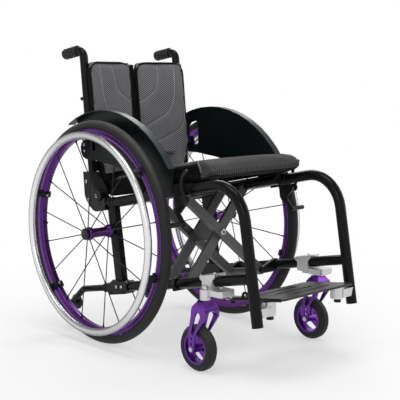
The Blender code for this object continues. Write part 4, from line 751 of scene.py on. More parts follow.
# %% Hubs
barrel = [(BORE, HUB_IN + 0.0004), (FLANGE - 0.003, HUB_IN + 0.0004), (FLANGE, HUB_IN + 0.003),
          (FLANGE, HUB_IN + 0.0085), (BARREL + 0.0012, HUB_IN + 0.016),
          (BARREL, HUB_IN + 0.028), (BARREL, HUB_OUT - 0.030), (BARREL + 0.0012, HUB_OUT - 0.018),
          (FLANGE, HUB_OUT - 0.0085), (FLANGE, HUB_OUT - 0.0035), (BORE, HUB_OUT - 0.0035)]
cap = [(BORE, HUB_OUT - 0.0040), (0.0166, HUB_OUT - 0.0040), (0.0172, HUB_OUT - 0.0022),
       (0.0150, HUB_OUT - 0.0004), (0.0118, HUB_OUT), (BORE, HUB_OUT)]
for word, side in SIDES:
    centre = Vector(REAR_AXLE)
    hub = turned_ring([(r, side * x) for r, x in fillet(barrel, 0.0012, 3)], centre, 64)
    piece("hub_" + word, [hub], rim_metal, "wheel_" + word, 30, stands_for="hub_spokes_" + word)
    shell = turned_ring([(r, side * x) for r, x in fillet(cap, 0.0008, 2)], centre, 64)
    piece("hub_cap_" + word, [shell], rim_metal, "wheel_" + word, 30)

# %% [markdown]
# ## The handrims
#
# The user drives the wheel by a polished alloy ring outside the tyre. Six black clips hold it:
# each wraps the rim's inner wall and reaches out to the ring. A clip is a bent strap, so it is
# cut as a plate with the strap's side view and its edges are rounded.

# %% Handrims and clips
HANDRIM_X = 0.2659
HANDRIM_R = 0.2578
HANDRIM_TUBE = 0.0096
CLIPS = 6
CLIP_TURN = math.radians(18.5)
CLIP_LONG = 0.016
inside = RIM_HALF + 0.0006
floor_r, waist_r, skin = 0.2519, 0.2611, 0.0030
strap = [(inside, 0.2716), (inside, waist_r), (inside - 0.003, floor_r),
         (0.003 - inside, floor_r), (-inside, waist_r - 0.002), (-inside - skin, waist_r - 0.002),
         (0.0008 - inside, floor_r - skin), (inside - 0.0008, floor_r - skin),
         (inside + skin, waist_r - 0.003), (HANDRIM_X - TRACK_HALF, 0.2543),
         (HANDRIM_X - TRACK_HALF - 0.002, 0.2623), (inside + skin, 0.2716)]
ring_section = [(HANDRIM_R + HANDRIM_TUBE * math.cos(math.tau * i / 24),
                 HANDRIM_TUBE * math.sin(math.tau * i / 24)) for i in range(24)]
for word, side in SIDES:
    centre = REAR_AXLE + X_AXIS * side * HANDRIM_X
    piece("push_ring_" + word, [turned_ring(ring_section, centre, 160)], handrim_metal,
          "wheel_" + word, 180, stands_for="handrim_" + word)
    clips, screws = [], []
    for i in range(CLIPS):
        angle = CLIP_TURN + math.tau * i / CLIPS
        edges = [on_wheel(side, TRACK_HALF + x, r, angle, along)
                 for along in (-CLIP_LONG / 2, CLIP_LONG / 2) for x, r in strap]
        clips.append((edges, capped_faces(2, len(strap))))
        head = on_wheel(side, TRACK_HALF + 0.001, floor_r - skin + 0.0004, angle)
        inward = head - on_wheel(side, TRACK_HALF + 0.001, floor_r, angle)
        screws.append(bolt_head(head, inward, 0.0036, 0.0026))
    piece("push_ring_clips_" + word, clips, black_metal, "wheel_" + word, 40, 0.0006)
    piece("push_ring_screws_" + word, screws, bright_steel, "wheel_" + word, 30)

# %% [markdown]
# ## Cloth finishes
#
# The seat and back are faced with a spacer mesh: a thick knit with small holes in slanting
# rows, which gives the slanting hatch seen from a few paces. The pattern is laid out in the
# cloth's own width and length, stored on the mesh as it is made, so it bends with the pad.
# The sides are a plain black weave, and tape, piping and thread are the same weave at a pitch
# of their own.

# %% Mesh knit group
knit_group, given, end = start_group(
    "slanting_knit", [("Cloth", "Vector", (0.0, 0.0, 0.0)), ("Pitch", "Float", 0.0043),
                      ("Slant", "Float", 0.62)],
    [("Height", "Float"), ("Hole", "Float"), ("Row", "Float")])
lay = add(knit_group, "SeparateXYZ", {0: given["Cloth"]})
cosine = calc(knit_group, "COSINE", given["Slant"])
sine = calc(knit_group, "SINE", given["Slant"])
along = calc(knit_group, "SUBTRACT", calc(knit_group, "MULTIPLY", lay.outputs["X"], cosine),
             calc(knit_group, "MULTIPLY", lay.outputs["Y"], sine))
beside = calc(knit_group, "ADD", calc(knit_group, "MULTIPLY", lay.outputs["X"], sine),
              calc(knit_group, "MULTIPLY", lay.outputs["Y"], cosine))
row_turn = calc(knit_group, "DIVIDE", calc(knit_group, "MULTIPLY", beside, math.tau),
                given["Pitch"])
loop_turn = calc(knit_group, "DIVIDE", calc(knit_group, "MULTIPLY", along, math.tau * 1.6),
                 given["Pitch"])
row = calc(knit_group, "MULTIPLY_ADD", calc(knit_group, "SINE", row_turn), 0.5, 0.5)
loop = calc(knit_group, "MULTIPLY_ADD", calc(knit_group, "SINE", loop_turn), 0.5, 0.5)
hole = spread(knit_group, calc(knit_group, "MULTIPLY", row, loop), 0.45, 0.80)
put_out(knit_group, end, Row=row, Hole=hole,
        Height=calc(knit_group, "SUBTRACT", calc(knit_group, "MULTIPLY", row, 0.5), hole))

# %% Plain weave group
weave_group, given, end = start_group(
    "plain_weave", [("Cloth", "Vector", (0.0, 0.0, 0.0)), ("Thread", "Float", 0.0012)],
    [("Height", "Float"), ("Tone", "Float")])
grid = add(weave_group, "VectorMath", {0: given["Cloth"]}, operation="SCALE")
weave_group.links.new(calc(weave_group, "DIVIDE", math.tau, given["Thread"]),
                      grid.inputs["Scale"])
lay = add(weave_group, "SeparateXYZ", {0: grid.outputs[0]})
warp = calc(weave_group, "SINE", lay.outputs["X"])
weft = calc(weave_group, "SINE", lay.outputs["Y"])
over = calc(weave_group, "MULTIPLY", warp, weft)
fuzz = noise(weave_group, 420.0, 3.0)
put_out(weave_group, end, Height=calc(weave_group, "MULTIPLY_ADD", over, 0.5, 0.5),
        Tone=calc(weave_group, "MULTIPLY_ADD", over, 0.25, fuzz))


# %% Cloth finishes
def cloth_place(tree):
    """The cloth's own width and length at a point, stored on each soft mesh."""
    return add(tree, "Attribute", attribute_name="cloth").outputs["Vector"]


def knit_finish(name, colour, thread, slant, pitch):
    """Spacer mesh: pale threads in slanting rows over a dark ground, with painted shade in its
    holes.
    """
    material, tree, shader = new_finish(name, colour, 0.85, Sheen_Weight=0.08,
                                        Sheen_Roughness=0.5, Specular_IOR_Level=0.15)
    knit = use(tree, knit_group, Cloth=cloth_place(tree), Slant=slant, Pitch=pitch)
    surface = use(tree, handling_group, Low=0.78, High=0.92, Scale=6.0)
    tint = mix_colour(tree, knit["Row"], thread, colour)
    # Painted shade: the holes are darkened as the shade inside them.
    tint = mix_colour(tree, knit["Hole"], tint, shade_of(colour, 0.25))
    tint = handled(tree, surface, 0.25, tint, shade_of(colour, 0.75))
    wire_finish(tree, shader, tint, surface, Height=knit["Height"], Distance=0.0006, Strength=0.6)
    return material


def woven_finish(name, colour, thread=0.0012):
    """A plain woven cloth or tape."""
    material, tree, shader = new_finish(name, colour, 0.8, Sheen_Weight=0.015,
                                        Sheen_Roughness=0.4, Specular_IOR_Level=0.08)
    weave = use(tree, weave_group, Cloth=cloth_place(tree), Thread=thread)
    surface = use(tree, handling_group, Low=0.66, High=0.84, Scale=8.0)
    tint = mix_colour(tree, spread(tree, weave["Tone"], 0.3, 0.8), shade_of(colour, 0.6),
                      shade_of(colour, 1.7, 0.002))
    wire_finish(tree, shader, tint, surface, Height=weave["Height"], Distance=0.0004, Strength=0.6)
    return material


back_knit = knit_finish("back_mesh", (0.036, 0.036, 0.039), (0.330, 0.330, 0.345), 0.62, 0.0050)
seat_knit = knit_finish("seat_mesh", (0.008, 0.008, 0.008), (0.105, 0.102, 0.100), 1.45, 0.0062)
black_weave = woven_finish("black_side_cloth", (0.0032, 0.0032, 0.0035))
binding_tape = woven_finish("binding_tape", (0.0065, 0.0065, 0.0070), 0.0016)
piping_cloth = woven_finish("piping_cloth", (0.200, 0.182, 0.178), 0.0014)
thread_cloth = woven_finish("grey_thread", (0.400, 0.400, 0.410), 0.0010)
sling_cloth = woven_finish("sling_cloth", (0.008, 0.008, 0.009), 0.0009)

# %% [markdown]
# ## Padding
#
# A padded cover is a skin under slight pressure. The frame's plain form is copied, remeshed
# into even squares, and blown up gently as cloth, with the face that rests on something held
# still. How far any point may move is capped, so that the pad keeps its place and its size.
# Sculpting would give the same shape only once, while this follows the frame when it changes.

# %% An even copy of a soft form
VOXEL = 0.0055


def padded_copy(node, name, draw_in):
    """An evenly meshed copy of a soft node, drawn in a little so that it has room to swell."""
    pad = new_thing(name, nodes[node].data.copy())
    pad.data.materials.clear()
    welded = bmesh.new()
    welded.from_mesh(pad.data)
    bmesh.ops.remove_doubles(welded, verts=welded.verts, dist=1e-5)
    welded.normal_update()
    for vert in welded.verts:
        vert.co -= vert.normal * draw_in
    welded.to_mesh(pad.data)
    welded.free()
    remesh = pad.modifiers.new("even_squares", "REMESH")
    remesh.mode = "VOXEL"
    remesh.voxel_size = VOXEL
    work_in(pad)
    return pad


# %% Pressure under the skin
PRESSURE = 4.0
PRESSED_FOR = 20


def puff(pad, cap, held_still):
    """Swells the pad under pressure. held_still(co, normal) tells which points don't move."""
    group = pad.vertex_groups.new(name="held")
    rest = [v.co.copy() for v in pad.data.vertices]
    still = [v.index for v in pad.data.vertices if held_still(v.co, v.normal)]
    group.add(still, 1.0, "REPLACE")
    cloth = pad.modifiers.new("skin", "CLOTH")
    cloth.settings.use_pressure = True
    cloth.settings.uniform_pressure_force = PRESSURE
    cloth.settings.effector_weights.gravity = 0
    cloth.settings.vertex_group_mass = "held"
    cloth.settings.quality = 6
    for moment in range(1, PRESSED_FOR + 1):
        scene.frame_set(moment)
    work_in(pad)
    scene.frame_set(1)
    for vert, start in zip(pad.data.vertices, rest):
        shift = vert.co - start
        if shift.length > cap:
            vert.co = start + shift * (cap / shift.length)
    pad.vertex_groups.clear()


def refine(pad):
    """One subdivision, smoothly shaded."""
    pad.modifiers.new("finer", "SUBSURF").levels = 1
    work_in(pad)
    smooth_faces(pad.data)


# %% The cloth's own width and length
def lay_cloth(pad, place):
    """Stores each point's place on the flat cloth, (width, length) in metres."""
    layer = pad.data.attributes.new("cloth", "FLOAT_VECTOR", "POINT")
    values = []
    for vert in pad.data.vertices:
        values.extend((*place(vert.co), 0.0))
    layer.data.foreach_set("vector", values)


def laid_level(at):
    """The place on a cloth that lies under a point."""
    return at.x, at.y


def hung_upright(at):
    """The place on a cloth that hangs behind a point."""
    return at.x, at.z


# %% Lines on a surface
def surface_of(pad):
    """A search tree over the pad's faces."""
    return BVHTree.FromPolygons([v.co for v in pad.data.vertices],
                                [p.vertices for p in pad.data.polygons])


def smooth_line(points, steps):
    """A line of many points that passes smoothly through a few."""
    points = [Vector(p) for p in points]
    line = []
    for i in range(len(points) - 1):
        b, c = points[i], points[i + 1]
        a = points[i - 1] if i else b * 2 - c
        d = points[i + 2] if i + 2 < len(points) else c * 2 - b
        for k in range(steps):
            t = k / steps
            line.append(0.5 * (2 * b + (c - a) * t + (2 * a - 5 * b + 4 * c - d) * t ** 2
                               + (3 * b - a - 3 * c + d) * t ** 3))
    line.append(points[-1])
    return line


def even_steps(line, step):
    """Points at equal distances along a line."""
    spaced, left = [line[0]], step
    for start, stop in zip(line, line[1:]):
        long, gone = (stop - start).length, 0.0
        while long - gone >= left:
            gone += left
            spaced.append(start.lerp(stop, gone / long))
            left = step
        left -= long - gone
    return spaced


# %% Stitches and seams
def stitches(surface, line, toward, long=0.0044, gap=0.0010, thick=0.00085):
    """Dashes of thread along a line, laid on the surface that a ray towards it meets."""
    toward = Vector(toward)
    forms = []
    for first in even_steps(line, long + gap):
        near = min(range(len(line)), key=lambda k: (line[k] - first).length)
        ahead = (line[min(near + 1, len(line) - 1)] - line[max(near - 1, 0)]).normalized()
        laid = []
        for share in (0.0, 0.5, 1.0):
            at = first + ahead * long * share
            hit = surface.ray_cast(at - toward * 0.3, toward)[0]
            if hit:
                laid.append(hit - toward * (0.0004 if share == 0.5 else -0.0002))
        if len(laid) == 3:
            forms.append(swept_tube(laid, thick, 6))
    return forms


def press_seam(pad, line, toward, wide=0.0040, deep=0.0022):
    """Draws the pad in along a line, as a row of stitches does."""
    toward = Vector(toward)
    tree = kdtree.KDTree(len(line))
    for i, at in enumerate(line):
        tree.insert(at - toward * at.dot(toward), i)
    tree.balance()
    for vert in pad.data.vertices:
        if vert.normal.dot(toward) < -0.2:
            away = tree.find(vert.co - toward * vert.co.dot(toward))[2]
            if away < 3 * wide:
                vert.co += toward * deep * math.exp(-(away / wide) ** 2)


# %% [markdown]
# ## The seat cushion
#
# A foam slab in a zipped cover. Its top and rounded nose are one piece of ribbed mesh, and the
# two sides are black cloth, sewn in with piping that runs along the top edge and turns down
# before the nose. A face belongs to a side by its place: near the edge, and within that piping.

# %% Cushion
SEAT_TILT = math.radians(11)
CUSHION_SWELLS, HELD_BELOW = 0.0042, 0.006
seat_up = Vector((0, math.sin(SEAT_TILT), math.cos(SEAT_TILT)))
seat_ahead = Vector((0, -math.cos(SEAT_TILT), math.sin(SEAT_TILT)))

cushion = padded_copy("seat_cushion", "cushion_cover", 0.0014)
soften = cushion.modifiers.new("round_edges", "SMOOTH")
soften.iterations = 3
work_in(cushion)
cushion_base = min(v.co.dot(seat_up) for v in cushion.data.vertices)
puff(cushion, CUSHION_SWELLS,
     lambda co, normal: co.dot(seat_up) < cushion_base + HELD_BELOW)
refine(cushion)
cushion.data.materials.append(seat_knit)
cushion.data.materials.append(black_weave)
spans = [[v.co.dot(way) for v in cushion.data.vertices] for way in (X_AXIS, seat_ahead, seat_up)]
half_width, front_edge, rear_edge = max(spans[0]), max(spans[1]), min(spans[1])
top_edge = sorted(spans[2])[-len(spans[2]) // 30]
SIDE_FRONT, SIDE_TOP, SIDE_TURN = front_edge - 0.034, top_edge - 0.008, 0.020
SIDE_INNER = half_width - 0.012
EDGE_FROM, EDGE_OVER, NOSE_STRETCH = half_width - 0.020, 0.015, 1.4


def place_on_cover(at):
    """Width and length on the cover, measured on over its sides and its nose."""
    drop = max(0.0, top_edge - at.dot(seat_up))
    on_side = min(1.0, max(0.0, (abs(at.x) - EDGE_FROM) / EDGE_OVER))
    return (at.x + math.copysign(drop * on_side, at.x),
            at.dot(seat_ahead) + NOSE_STRETCH * drop * (1 - on_side))


lay_cloth(cushion, place_on_cover)


def on_side_cloth(at):
    """Whether a point lies on one of the black sides, which end before the rounded nose."""
    ahead, height = at.dot(seat_ahead) - SIDE_FRONT, at.dot(seat_up) - SIDE_TOP
    if abs(at.x) < SIDE_INNER or ahead > 0 or height > 0:
        return False
    reach = math.hypot(max(0.0, ahead + SIDE_TURN), max(0.0, height + SIDE_TURN))
    return reach < SIDE_TURN


for face in cushion.data.polygons:
    face.material_index = int(on_side_cloth(face.center) or face.normal.dot(seat_up) < -0.8
                              or face.normal.dot(seat_ahead) < -0.6)
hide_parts("seat_cushion")
print("cushion faces:", len(cushion.data.polygons))
print("cushion's front edge:", round(front_edge, 4), "top:", round(top_edge, 4))

# %% Piping of the cushion
PIPING_R, PIPING_PROUD, PIPING_FROM = 0.0021, 0.0004, 0.010
cushion_skin = surface_of(cushion)


def piping_line(side):
    """Round the edge of a side cloth: along its top, then round and down before the nose."""
    start = rear_edge + PIPING_FROM
    spots = [(start + (SIDE_FRONT - SIDE_TURN - start) * k / 24, SIDE_TOP) for k in range(24)]
    for k in range(9):
        swing = math.pi / 2 * k / 8
        spots.append((SIDE_FRONT - SIDE_TURN * (1 - math.sin(swing)),
                      SIDE_TOP - SIDE_TURN * (1 - math.cos(swing))))
    spots += [(SIDE_FRONT, SIDE_TOP - SIDE_TURN - drop) for drop in (0.005, 0.010)]
    line = []
    for ahead, height in spots:
        outside = X_AXIS * side * 0.3 + seat_ahead * ahead + seat_up * height
        hit = cushion_skin.ray_cast(outside, -X_AXIS * side)[0]
        if hit:
            line.append(hit + X_AXIS * side * PIPING_PROUD)
    return line


cushion_piping = {}
for word, side in SIDES:
    cord_line = even_steps(smooth_line(piping_line(side), 4), 0.004)
    cushion_piping[word] = piece("cushion_piping_" + word, [swept_tube(cord_line, PIPING_R, 8)],
                                 piping_cloth, "seat", 180)
    lay_cloth(cushion_piping[word], laid_level)
    print("piping points:", len(cord_line))

# %% [markdown]
# ## The backrest
#
# Two padded halves hang between the canes, joined by a narrow strip that lets them fold. They
# lean rearwards with the canes and sag towards the strip. Rows of pale stitches run down each
# half in long curves and draw the padding in, and a black tape binds the edges. The seams are
# given as a few points each, in millimetres from the chair's middle and from the floor.

# %% Seams, edges and the room for the seat rails
BACK_SEAMS = (((82, 735), (79, 714), (71, 670), (37, 642), (8, 625)),
              ((132, 735), (130, 680), (123, 635), (100, 597), (43, 567), (8, 545)),
              ((163, 640), (159, 589), (137, 552), (83, 524), (20, 505)))
KNIT_ENDS, EDGE_BAND = 0.440, 0.014
LOOKS_BACK, BLACK_IN_BAND = 0.2, -0.62
HALF_DRAWN, HALF_SWELLS = 0.0020, 0.0040
HOLLOW_DEEP = 0.0122
HOLLOW_ACROSS = (0.036, 0.104, 0.016)
HOLLOW_UP = (0.430, 0.474, 0.014)


def slope_in(value, low, high, soft):
    """One between low and high, and zero further than soft outside them."""
    short = max(low - value, value - high, 0.0) / soft
    return 0.5 + 0.5 * math.cos(math.pi * min(1.0, short))


def rail_hollow(x, z):
    """How far the back gives way behind the cushion, where a seat rail's end comes when folded."""
    return HOLLOW_DEEP * slope_in(x, *HOLLOW_ACROSS) * slope_in(z, *HOLLOW_UP)


def leave_room_for_rail(half, side):
    """Presses the front of a half in where the rail comes."""
    for vert in half.data.vertices:
        if vert.normal.y < LOOKS_BACK:
            vert.co.y += rail_hollow(vert.co.x * side, vert.co.z)


# %% Back halves
back_halves = {}
back_trim = {"right": [], "left": []}
for word, side in SIDES:
    half = padded_copy("back_panel_" + word, "back_pad_" + word, HALF_DRAWN)
    puff(half, HALF_SWELLS, lambda co, normal: normal.y > 0.5)
    refine(half)
    leave_room_for_rail(half, side)
    seams = [smooth_line([(side * x / 1000, 0, z / 1000) for x, z in seam], 12)
             for seam in BACK_SEAMS]
    for seam in seams:
        press_seam(half, seam, (0, 1, 0))
    lay_cloth(half, hung_upright)
    half.data.materials.append(back_knit)
    half.data.materials.append(black_weave)
    reach = [vert.co.x * side for vert in half.data.vertices]
    inner_edge, outer_edge = min(reach) + EDGE_BAND, max(reach) - EDGE_BAND
    top_band = max(vert.co.z for vert in half.data.vertices) - EDGE_BAND
    for face in half.data.polygons:
        x, z = face.center.x * side, face.center.z
        in_band = x < inner_edge or x > outer_edge or z > top_band
        black_from = BLACK_IN_BAND if in_band else LOOKS_BACK
        face.material_index = int(z < KNIT_ENDS or face.normal.y > black_from)
    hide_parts("back_panel_" + word)
    back_halves[word] = half
    skin_of_half = surface_of(half)
    rows = [form for seam in seams for form in stitches(skin_of_half, seam, (0, 1, 0))]
    back_trim[word].append(piece("back_stitches_" + word, rows, thread_cloth, "side_" + word, 180))
    print(half.name, "faces:", len(half.data.polygons), "stitches:", len(rows))


# %% Tape round the edges of each half
TAPE_HALF, TAPE_DEEP, TAPE_INSET = 0.0034, 0.0088, 0.0014
SLICES, SLICES_OVER, SLICE_HALF = 34, 14, 0.003
FIRST_SLICE, CORNER, AROUND = 0.008, 0.010, 0.0045


def edge_of(pad, side):
    """The pad's outline from its outer lower corner, over the top, to its inner lower corner."""
    spots = [v.co for v in pad.data.vertices]
    low_z, high_z = min(s.z for s in spots), max(s.z for s in spots)

    def extreme(chosen, measure):
        best = max(chosen, key=measure)
        near = [s.y for s in spots if (s.x - best.x) ** 2 + (s.z - best.z) ** 2 < AROUND ** 2]
        return Vector((best.x, (min(near) + max(near)) / 2, best.z))

    tall = high_z - low_z - 2 * CORNER
    heights = [low_z + FIRST_SLICE + tall * k / SLICES for k in range(SLICES + 1)]
    slices = [[s for s in spots if abs(s.z - z) < SLICE_HALF] for z in heights]
    outer = [extreme(s, lambda at: at.x * side) for s in slices]
    inner = [extreme(s, lambda at: -at.x * side) for s in reversed(slices)]
    first, last = outer[-1].x * side - CORNER, inner[0].x * side + CORNER
    across = [first + (last - first) * k / SLICES_OVER for k in range(SLICES_OVER + 1)]
    over = [extreme([s for s in spots if abs(s.x * side - x) < SLICE_HALF], lambda at: at.z)
            for x in across]
    return outer + over + inner


for word, side in SIDES:
    outline = edge_of(back_halves[word], side)
    middle = sum(outline, Vector()) / len(outline)
    drawn = []
    for at in outline:
        inward = Vector((middle.x - at.x, 0, middle.z - at.z))
        inward.z *= float(abs(at.z - outline[SLICES].z) < 2 * CORNER)
        drawn.append(at + inward.normalized() * TAPE_INSET)
    for _ in range(4):
        drawn = ([drawn[0]] + [(a + 2 * b + c) / 4 for a, b, c in zip(drawn, drawn[1:], drawn[2:])]
                 + [drawn[-1]])
    tape = swept_tube(even_steps(smooth_line(drawn, 4), 0.004), TAPE_HALF, 12,
                      flat=TAPE_DEEP / TAPE_HALF, up=(0, 1, 0))
    back_trim[word].append(piece("back_tape_" + word, [tape], binding_tape, "side_" + word, 180))
    lay_cloth(back_trim[word][-1], hung_upright)
    lay_cloth(back_trim[word][0], hung_upright)

# %% Middle strip
STRIP_WIDER, STRIP_TALLER = 1.35, 1.03
strip = padded_copy("back_spine", "back_middle_strip", 0.0)
refine(strip)
foot = min(v.co.z for v in strip.data.vertices)
for vert in strip.data.vertices:
    vert.co.x *= STRIP_WIDER
    vert.co.z = foot + (vert.co.z - foot) * STRIP_TALLER
lay_cloth(strip, hung_upright)
strip.data.materials.append(black_weave)
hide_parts("back_spine")
print("strip's foot:", round(foot, 4))

# %% [markdown]
# ## Bolts that show
#
# The castings are held by bright socket bolts, and they are what catches the eye on a black
# frame. Each is a small turned dome on the face that it clamps. Those on the side frame are
# listed by how far out they stand, how far behind the rear axle, their height and their radius.

# %% Bolts
def from_axle(side, x, y, z):
    """A point x out from the chair's middle, y behind the rear axle, at height z."""
    return Vector((side * x, REAR_AXLE.y + y, z))


SIDE_BOLTS = ((0.1880, 0.1010, 0.420, 0.0056), (0.1880, 0.090, 0.370, 0.0056),
              (0.1930, 0.047, 0.3855, 0.0060), (0.1876, 0.107, 0.519, 0.0040),
              (0.1876, 0.106, 0.503, 0.0040), (0.1877, -0.026, 0.147, 0.0048),
              (0.1877, -0.047, 0.150, 0.0048))
CROSS_AHEAD, CROSS_ABOVE, LOWER_TUBE_Z, TUBE_X = 0.2640, 0.1088, 0.1395, 0.170
CANE_X, SUNK = 0.1650, 0.0004
KNOB_BEHIND, KNOB_HEIGHT, KNOB_OFF = 0.1223, 0.643, 0.0108
CLAMP_BOLTS_APART = 0.022
for word, side in SIDES:
    heads = [bolt_head(from_axle(side, x - SUNK, y, z), X_AXIS * side, radius, 0.0042)
             for x, y, z, radius in SIDE_BOLTS]
    piece("side_bolts_" + word, heads, bright_steel, "side_" + word, 30)
    look = Vector((side * 0.45, 0.89, 0))
    knob_at = from_axle(side, CANE_X, KNOB_BEHIND, KNOB_HEIGHT) + look * KNOB_OFF
    knob = [bolt_head(knob_at, look, 0.0052, 0.0085)]
    piece("cane_knob_" + word, knob, black_plastic, "side_" + word, 30)
for word, side in SIDES:
    clamp_low, clamp_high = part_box("caster_clamp_" + word)
    clamp_skin = surface_of(nodes["caster_clamp_" + word])
    middle = (clamp_low + clamp_high) / 2
    heads = []
    for lengthwise in (-CLAMP_BOLTS_APART / 2, CLAMP_BOLTS_APART / 2):
        for height, way in ((clamp_high.z + 0.02, -1), (clamp_low.z - 0.02, 1)):
            above = Vector((side * TUBE_X, middle.y + lengthwise, height))
            hit, normal = clamp_skin.ray_cast(above, Vector((0, 0, way)))[:2]
            if hit:
                heads.append(bolt_head(hit - normal * SUNK, normal, 0.0040, 0.0040))
    piece("clamp_bolts_" + word, heads, bright_steel, "side_" + word, 30)
    print(word, "bolts:", len(SIDE_BOLTS) + len(heads))
cross = Vector((0, REAR_AXLE.y, LOWER_TUBE_Z)) + seat_ahead * CROSS_AHEAD + seat_up * CROSS_ABOVE
piece("brace_bolt", [bolt_head(cross - seat_ahead * 0.0003, seat_ahead, 0.0088, 0.0052, 24)],
      bright_steel, "brace_b", 30)

# %% [markdown]
# ## The lower flap
#
# Below the padding the back cover ends in a plain black flap, which hangs behind the cushion
# and reaches the canes above their castings. It is cut as one thin sheet for each half. Such a
# sheet is drawn as rows of points and given its thickness afterwards.

# %% Thin sheets
def thin_sheet(name, rows, thick, finish):
    """A cloth over rows of points, thickened evenly to both sides."""
    count = len(rows[0])
    faces = []
    for near in range(0, (len(rows) - 1) * count, count):
        for i in range(near, near + count - 1):
            faces.append((i, i + 1, i + count + 1, i + count))
    mesh = bpy.data.meshes.new(name)
    mesh.from_pydata([point for row in rows for point in row], [], faces)
    cloth = new_thing(name, mesh)
    thicken = cloth.modifiers.new("thickness", "SOLIDIFY")
    thicken.thickness = thick
    thicken.offset = 0
    work_in(cloth)
    cloth.data.materials.append(finish)
    return cloth


# %% Lower flap
BACK_LEAN, BACK_SAG, BACK_HALF = math.radians(5.4), 0.024, 0.150
FLAP_TOP, FLAP_LOW, FLAP_STEP = 0.474, 0.380, 0.447
FLAP_INNER, FLAP_WIDE, FLAP_NARROW, FLAP_THICK = 0.004, 0.1735, 0.1500, 0.0012
BEHIND_PAD, BEFORE_CANE, CANE_STARTS = 0.0016, -0.0011, 0.147
TUCK_DEEP, TUCK_FROM, TUCK_OVER = 0.014, 0.412, 0.032
CANE_TOP_Y, CANE_TOP_Z, CANE_HALF = 0.135 + REAR_AXLE.y, 0.777, 0.0118


def back_plane(z):
    """How far back the front of the leaning canes is at this height."""
    return CANE_TOP_Y - math.tan(BACK_LEAN) * (CANE_TOP_Z - z) - CANE_HALF / math.cos(BACK_LEAN)


def on_flap(side, i, j):
    """The flap's point at step i across and step j up."""
    z = FLAP_LOW + (FLAP_TOP - FLAP_LOW) * j / 16
    edge = FLAP_WIDE if z > FLAP_STEP else FLAP_NARROW
    x = FLAP_INNER + (edge - FLAP_INNER) * i / 24
    sag = BACK_SAG * max(0.0, 1 - (x / BACK_HALF) ** 2)
    behind = BEHIND_PAD if x < CANE_STARTS else BEFORE_CANE
    tuck = TUCK_DEEP * max(0.0, (TUCK_FROM - z) / TUCK_OVER) ** 1.5
    return side * x, back_plane(z) + sag + behind + rail_hollow(x, z) - tuck, z


back_flaps = {}
for word, side in SIDES:
    rows = [[on_flap(side, i, j) for i in range(25)] for j in range(17)]
    flap = thin_sheet("back_flap_" + word, rows, FLAP_THICK, black_weave)
    smooth_faces(flap.data)
    lay_cloth(flap, hung_upright)
    back_flaps[word] = flap
print("points of a flap:", len(flap.data.vertices))

# %% [markdown]
# ## The sling
#
# Under the cushion a sheet of black cloth is stretched between the seat rails and sags a
# little between them. It is drawn as a thin sheet too.

# %% Sling
RAIL_X, RAIL_HALF = 0.1225, 0.012
SLING_WIDTH, SLING_DEEP = 0.262, 0.380
SLING_RISE, SLING_SAG, SLING_THICK = 0.004, 0.008, 0.0022
sling_low, sling_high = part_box("seat_sling")


def on_sling(i, j):
    """The sling's point at step i across and step j ahead."""
    middle = (sling_low + sling_high) / 2
    middle.x = (i / 24 - 0.5) * SLING_WIDTH
    drop = SLING_SAG * max(0.0, 1 - (middle.x / (RAIL_X - RAIL_HALF)) ** 2)
    return middle + seat_ahead * (j / 30 - 0.5) * SLING_DEEP + seat_up * (SLING_RISE - drop)


sling = thin_sheet("seat_sling_cloth", [[on_sling(i, j) for i in range(25)] for j in range(31)],
                   SLING_THICK, sling_cloth)
lay_cloth(sling, laid_level)
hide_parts("seat_sling")
print("sling's height:", round((sling_low.z + sling_high.z) / 2, 4))

# %% [markdown]
# ## What the soft pieces ride on
#
# Folding brings the two side frames together. The cushion, its piping and the sling ride on the
# seat. Each half of the back, with its flap, stitches and tape, rides on the side frame that
# holds it, and the middle strip rides on the right side. Each piece gets a mesh of its own.

# %% What each soft piece rides on
for soft_piece in (cushion, sling):
    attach(soft_piece, "seat")
    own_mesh(soft_piece)
for word, side in SIDES:
    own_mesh(cushion_piping[word])
    for soft_piece in (back_halves[word], back_flaps[word], *back_trim[word]):
        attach(soft_piece, "side_" + word)
        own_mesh(soft_piece)
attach(strip, "side_right")
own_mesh(strip)

# %% [markdown]
# ## The studio
#
# A pale, flat sweep runs under the chair and far behind it. Near the chair the camera sees it
# half as a matte surface that takes the chair's shadow and half as a plain white glow, which
# pales that shadow: painted light. Further off it sees it plain white. The shader does this by
# asking what kind of ray it answers. Large soft lamps light the chair.

# %% Sweep
def seen_directly(tree):
    """One for rays that show a thing as it looks: from the camera, a mirror or through glass."""
    ray = add(tree, "LightPath").outputs
    straight = calc(tree, "MAXIMUM", ray["Is Camera Ray"], ray["Is Glossy Ray"])
    return calc(tree, "MAXIMUM", straight, ray["Is Transmission Ray"])


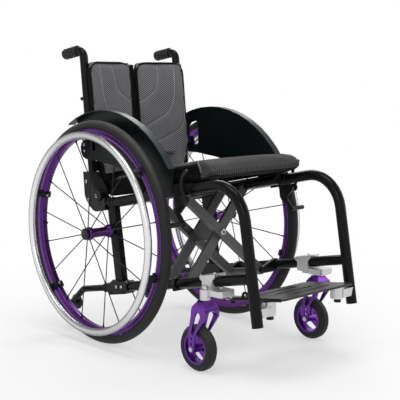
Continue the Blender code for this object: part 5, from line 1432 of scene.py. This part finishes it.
def studio_white(name, colour, clear_from, clear_to):
    """Near the chair half matte and half a white glow that pales its shadow, as painted light;
    plain white further off, straight, reflected or through glass.
    """
    material = bpy.data.materials.new(name)
    material.use_nodes = True
    tree = material.node_tree
    tree.nodes.clear()
    place = add(tree, "TexCoord")
    flat = add(tree, "VectorMath", {0: place.outputs["Object"], 1: (1, 1, 0)},
               operation="MULTIPLY")
    reach = add(tree, "VectorMath", {0: flat.outputs[0]}, operation="LENGTH")
    # Even next to the chair about half of what direct rays see is white glow: painted light that
    # pales the shadow.
    far = spread(tree, reach.outputs["Value"], clear_from, clear_to, 0.52, 1.0)
    share = calc(tree, "MULTIPLY", far, seen_directly(tree))
    matte = add(tree, "BsdfDiffuse", {"Color": (*colour, 1)})
    plain = add(tree, "Emission", {"Color": (1, 1, 1, 1), "Strength": 1.0})
    both = add(tree, "MixShader", {0: share, 1: matte.outputs[0], 2: plain.outputs[0]})
    add(tree, "OutputMaterial", {0: both.outputs[0]})
    return material


SWEEP_HALF = 6.0
sweep_mesh = bpy.data.meshes.new("studio_floor")
sweep_mesh.from_pydata([(SWEEP_HALF * x, SWEEP_HALF * y, 0)
                        for x, y in ((-1, -1), (1, -1), (1, 1), (-1, 1))], [], [(0, 1, 2, 3)])
sweep = new_thing("studio_floor", sweep_mesh)
sweep.data.materials.append(studio_white("studio_floor", (0.93, 0.93, 0.935), 0.45, 1.2))

# %% World and lamps
world = bpy.data.worlds.new("studio")
scene.world = world
world.use_nodes = True
tree = world.node_tree
tree.nodes.clear()
heading = add(tree, "TexCoord")
rise = add(tree, "SeparateXYZ", {0: heading.outputs["Generated"]})
band = spread(tree, rise.outputs["Z"], 0.22, 0.75, 1.0, 0.28)
soft = add(tree, "Background", {"Color": (1, 1, 1, 1), "Strength": 0.50})
white = add(tree, "Background", {"Color": (1, 1, 1, 1), "Strength": band})
both = add(tree, "MixShader", {0: seen_directly(tree), 1: soft.outputs[0], 2: white.outputs[0]})
add(tree, "OutputWorld", {0: both.outputs[0]})


def soft_lamp(name, place, aim, size, power):
    """A soft lamp of this width and height that looks at aim."""
    light = bpy.data.lights.new(name, "AREA")
    light.shape = "RECTANGLE"
    light.size, light.size_y = size
    light.energy = power
    lamp = new_thing(name, light)
    lamp.location = place
    lamp.rotation_mode = "QUATERNION"
    lamp.rotation_quaternion = (Vector(aim) - Vector(place)).to_track_quat("-Z", "Y")


soft_lamp("lamp_above", (-0.4, -0.3, 2.7), (0, 0, 0.4), (1.6, 1.0), 24)
soft_lamp("lamp_front", (-2.3, -1.9, 1.9), (0, 0, 0.4), (0.5, 1.4), 17)
soft_lamp("lamp_far_side", (1.5, 1.5, 2.1), (0, 0.1, 0.4), (1.5, 0.7), 20)
soft_lamp("lamp_left", (2.2, -1.2, 1.5), (0, 0, 0.4), (0.4, 1.3), 8)
scene.view_settings.view_transform = "Standard"
print("lamps:", [lamp.name for lamp in bpy.data.lights])
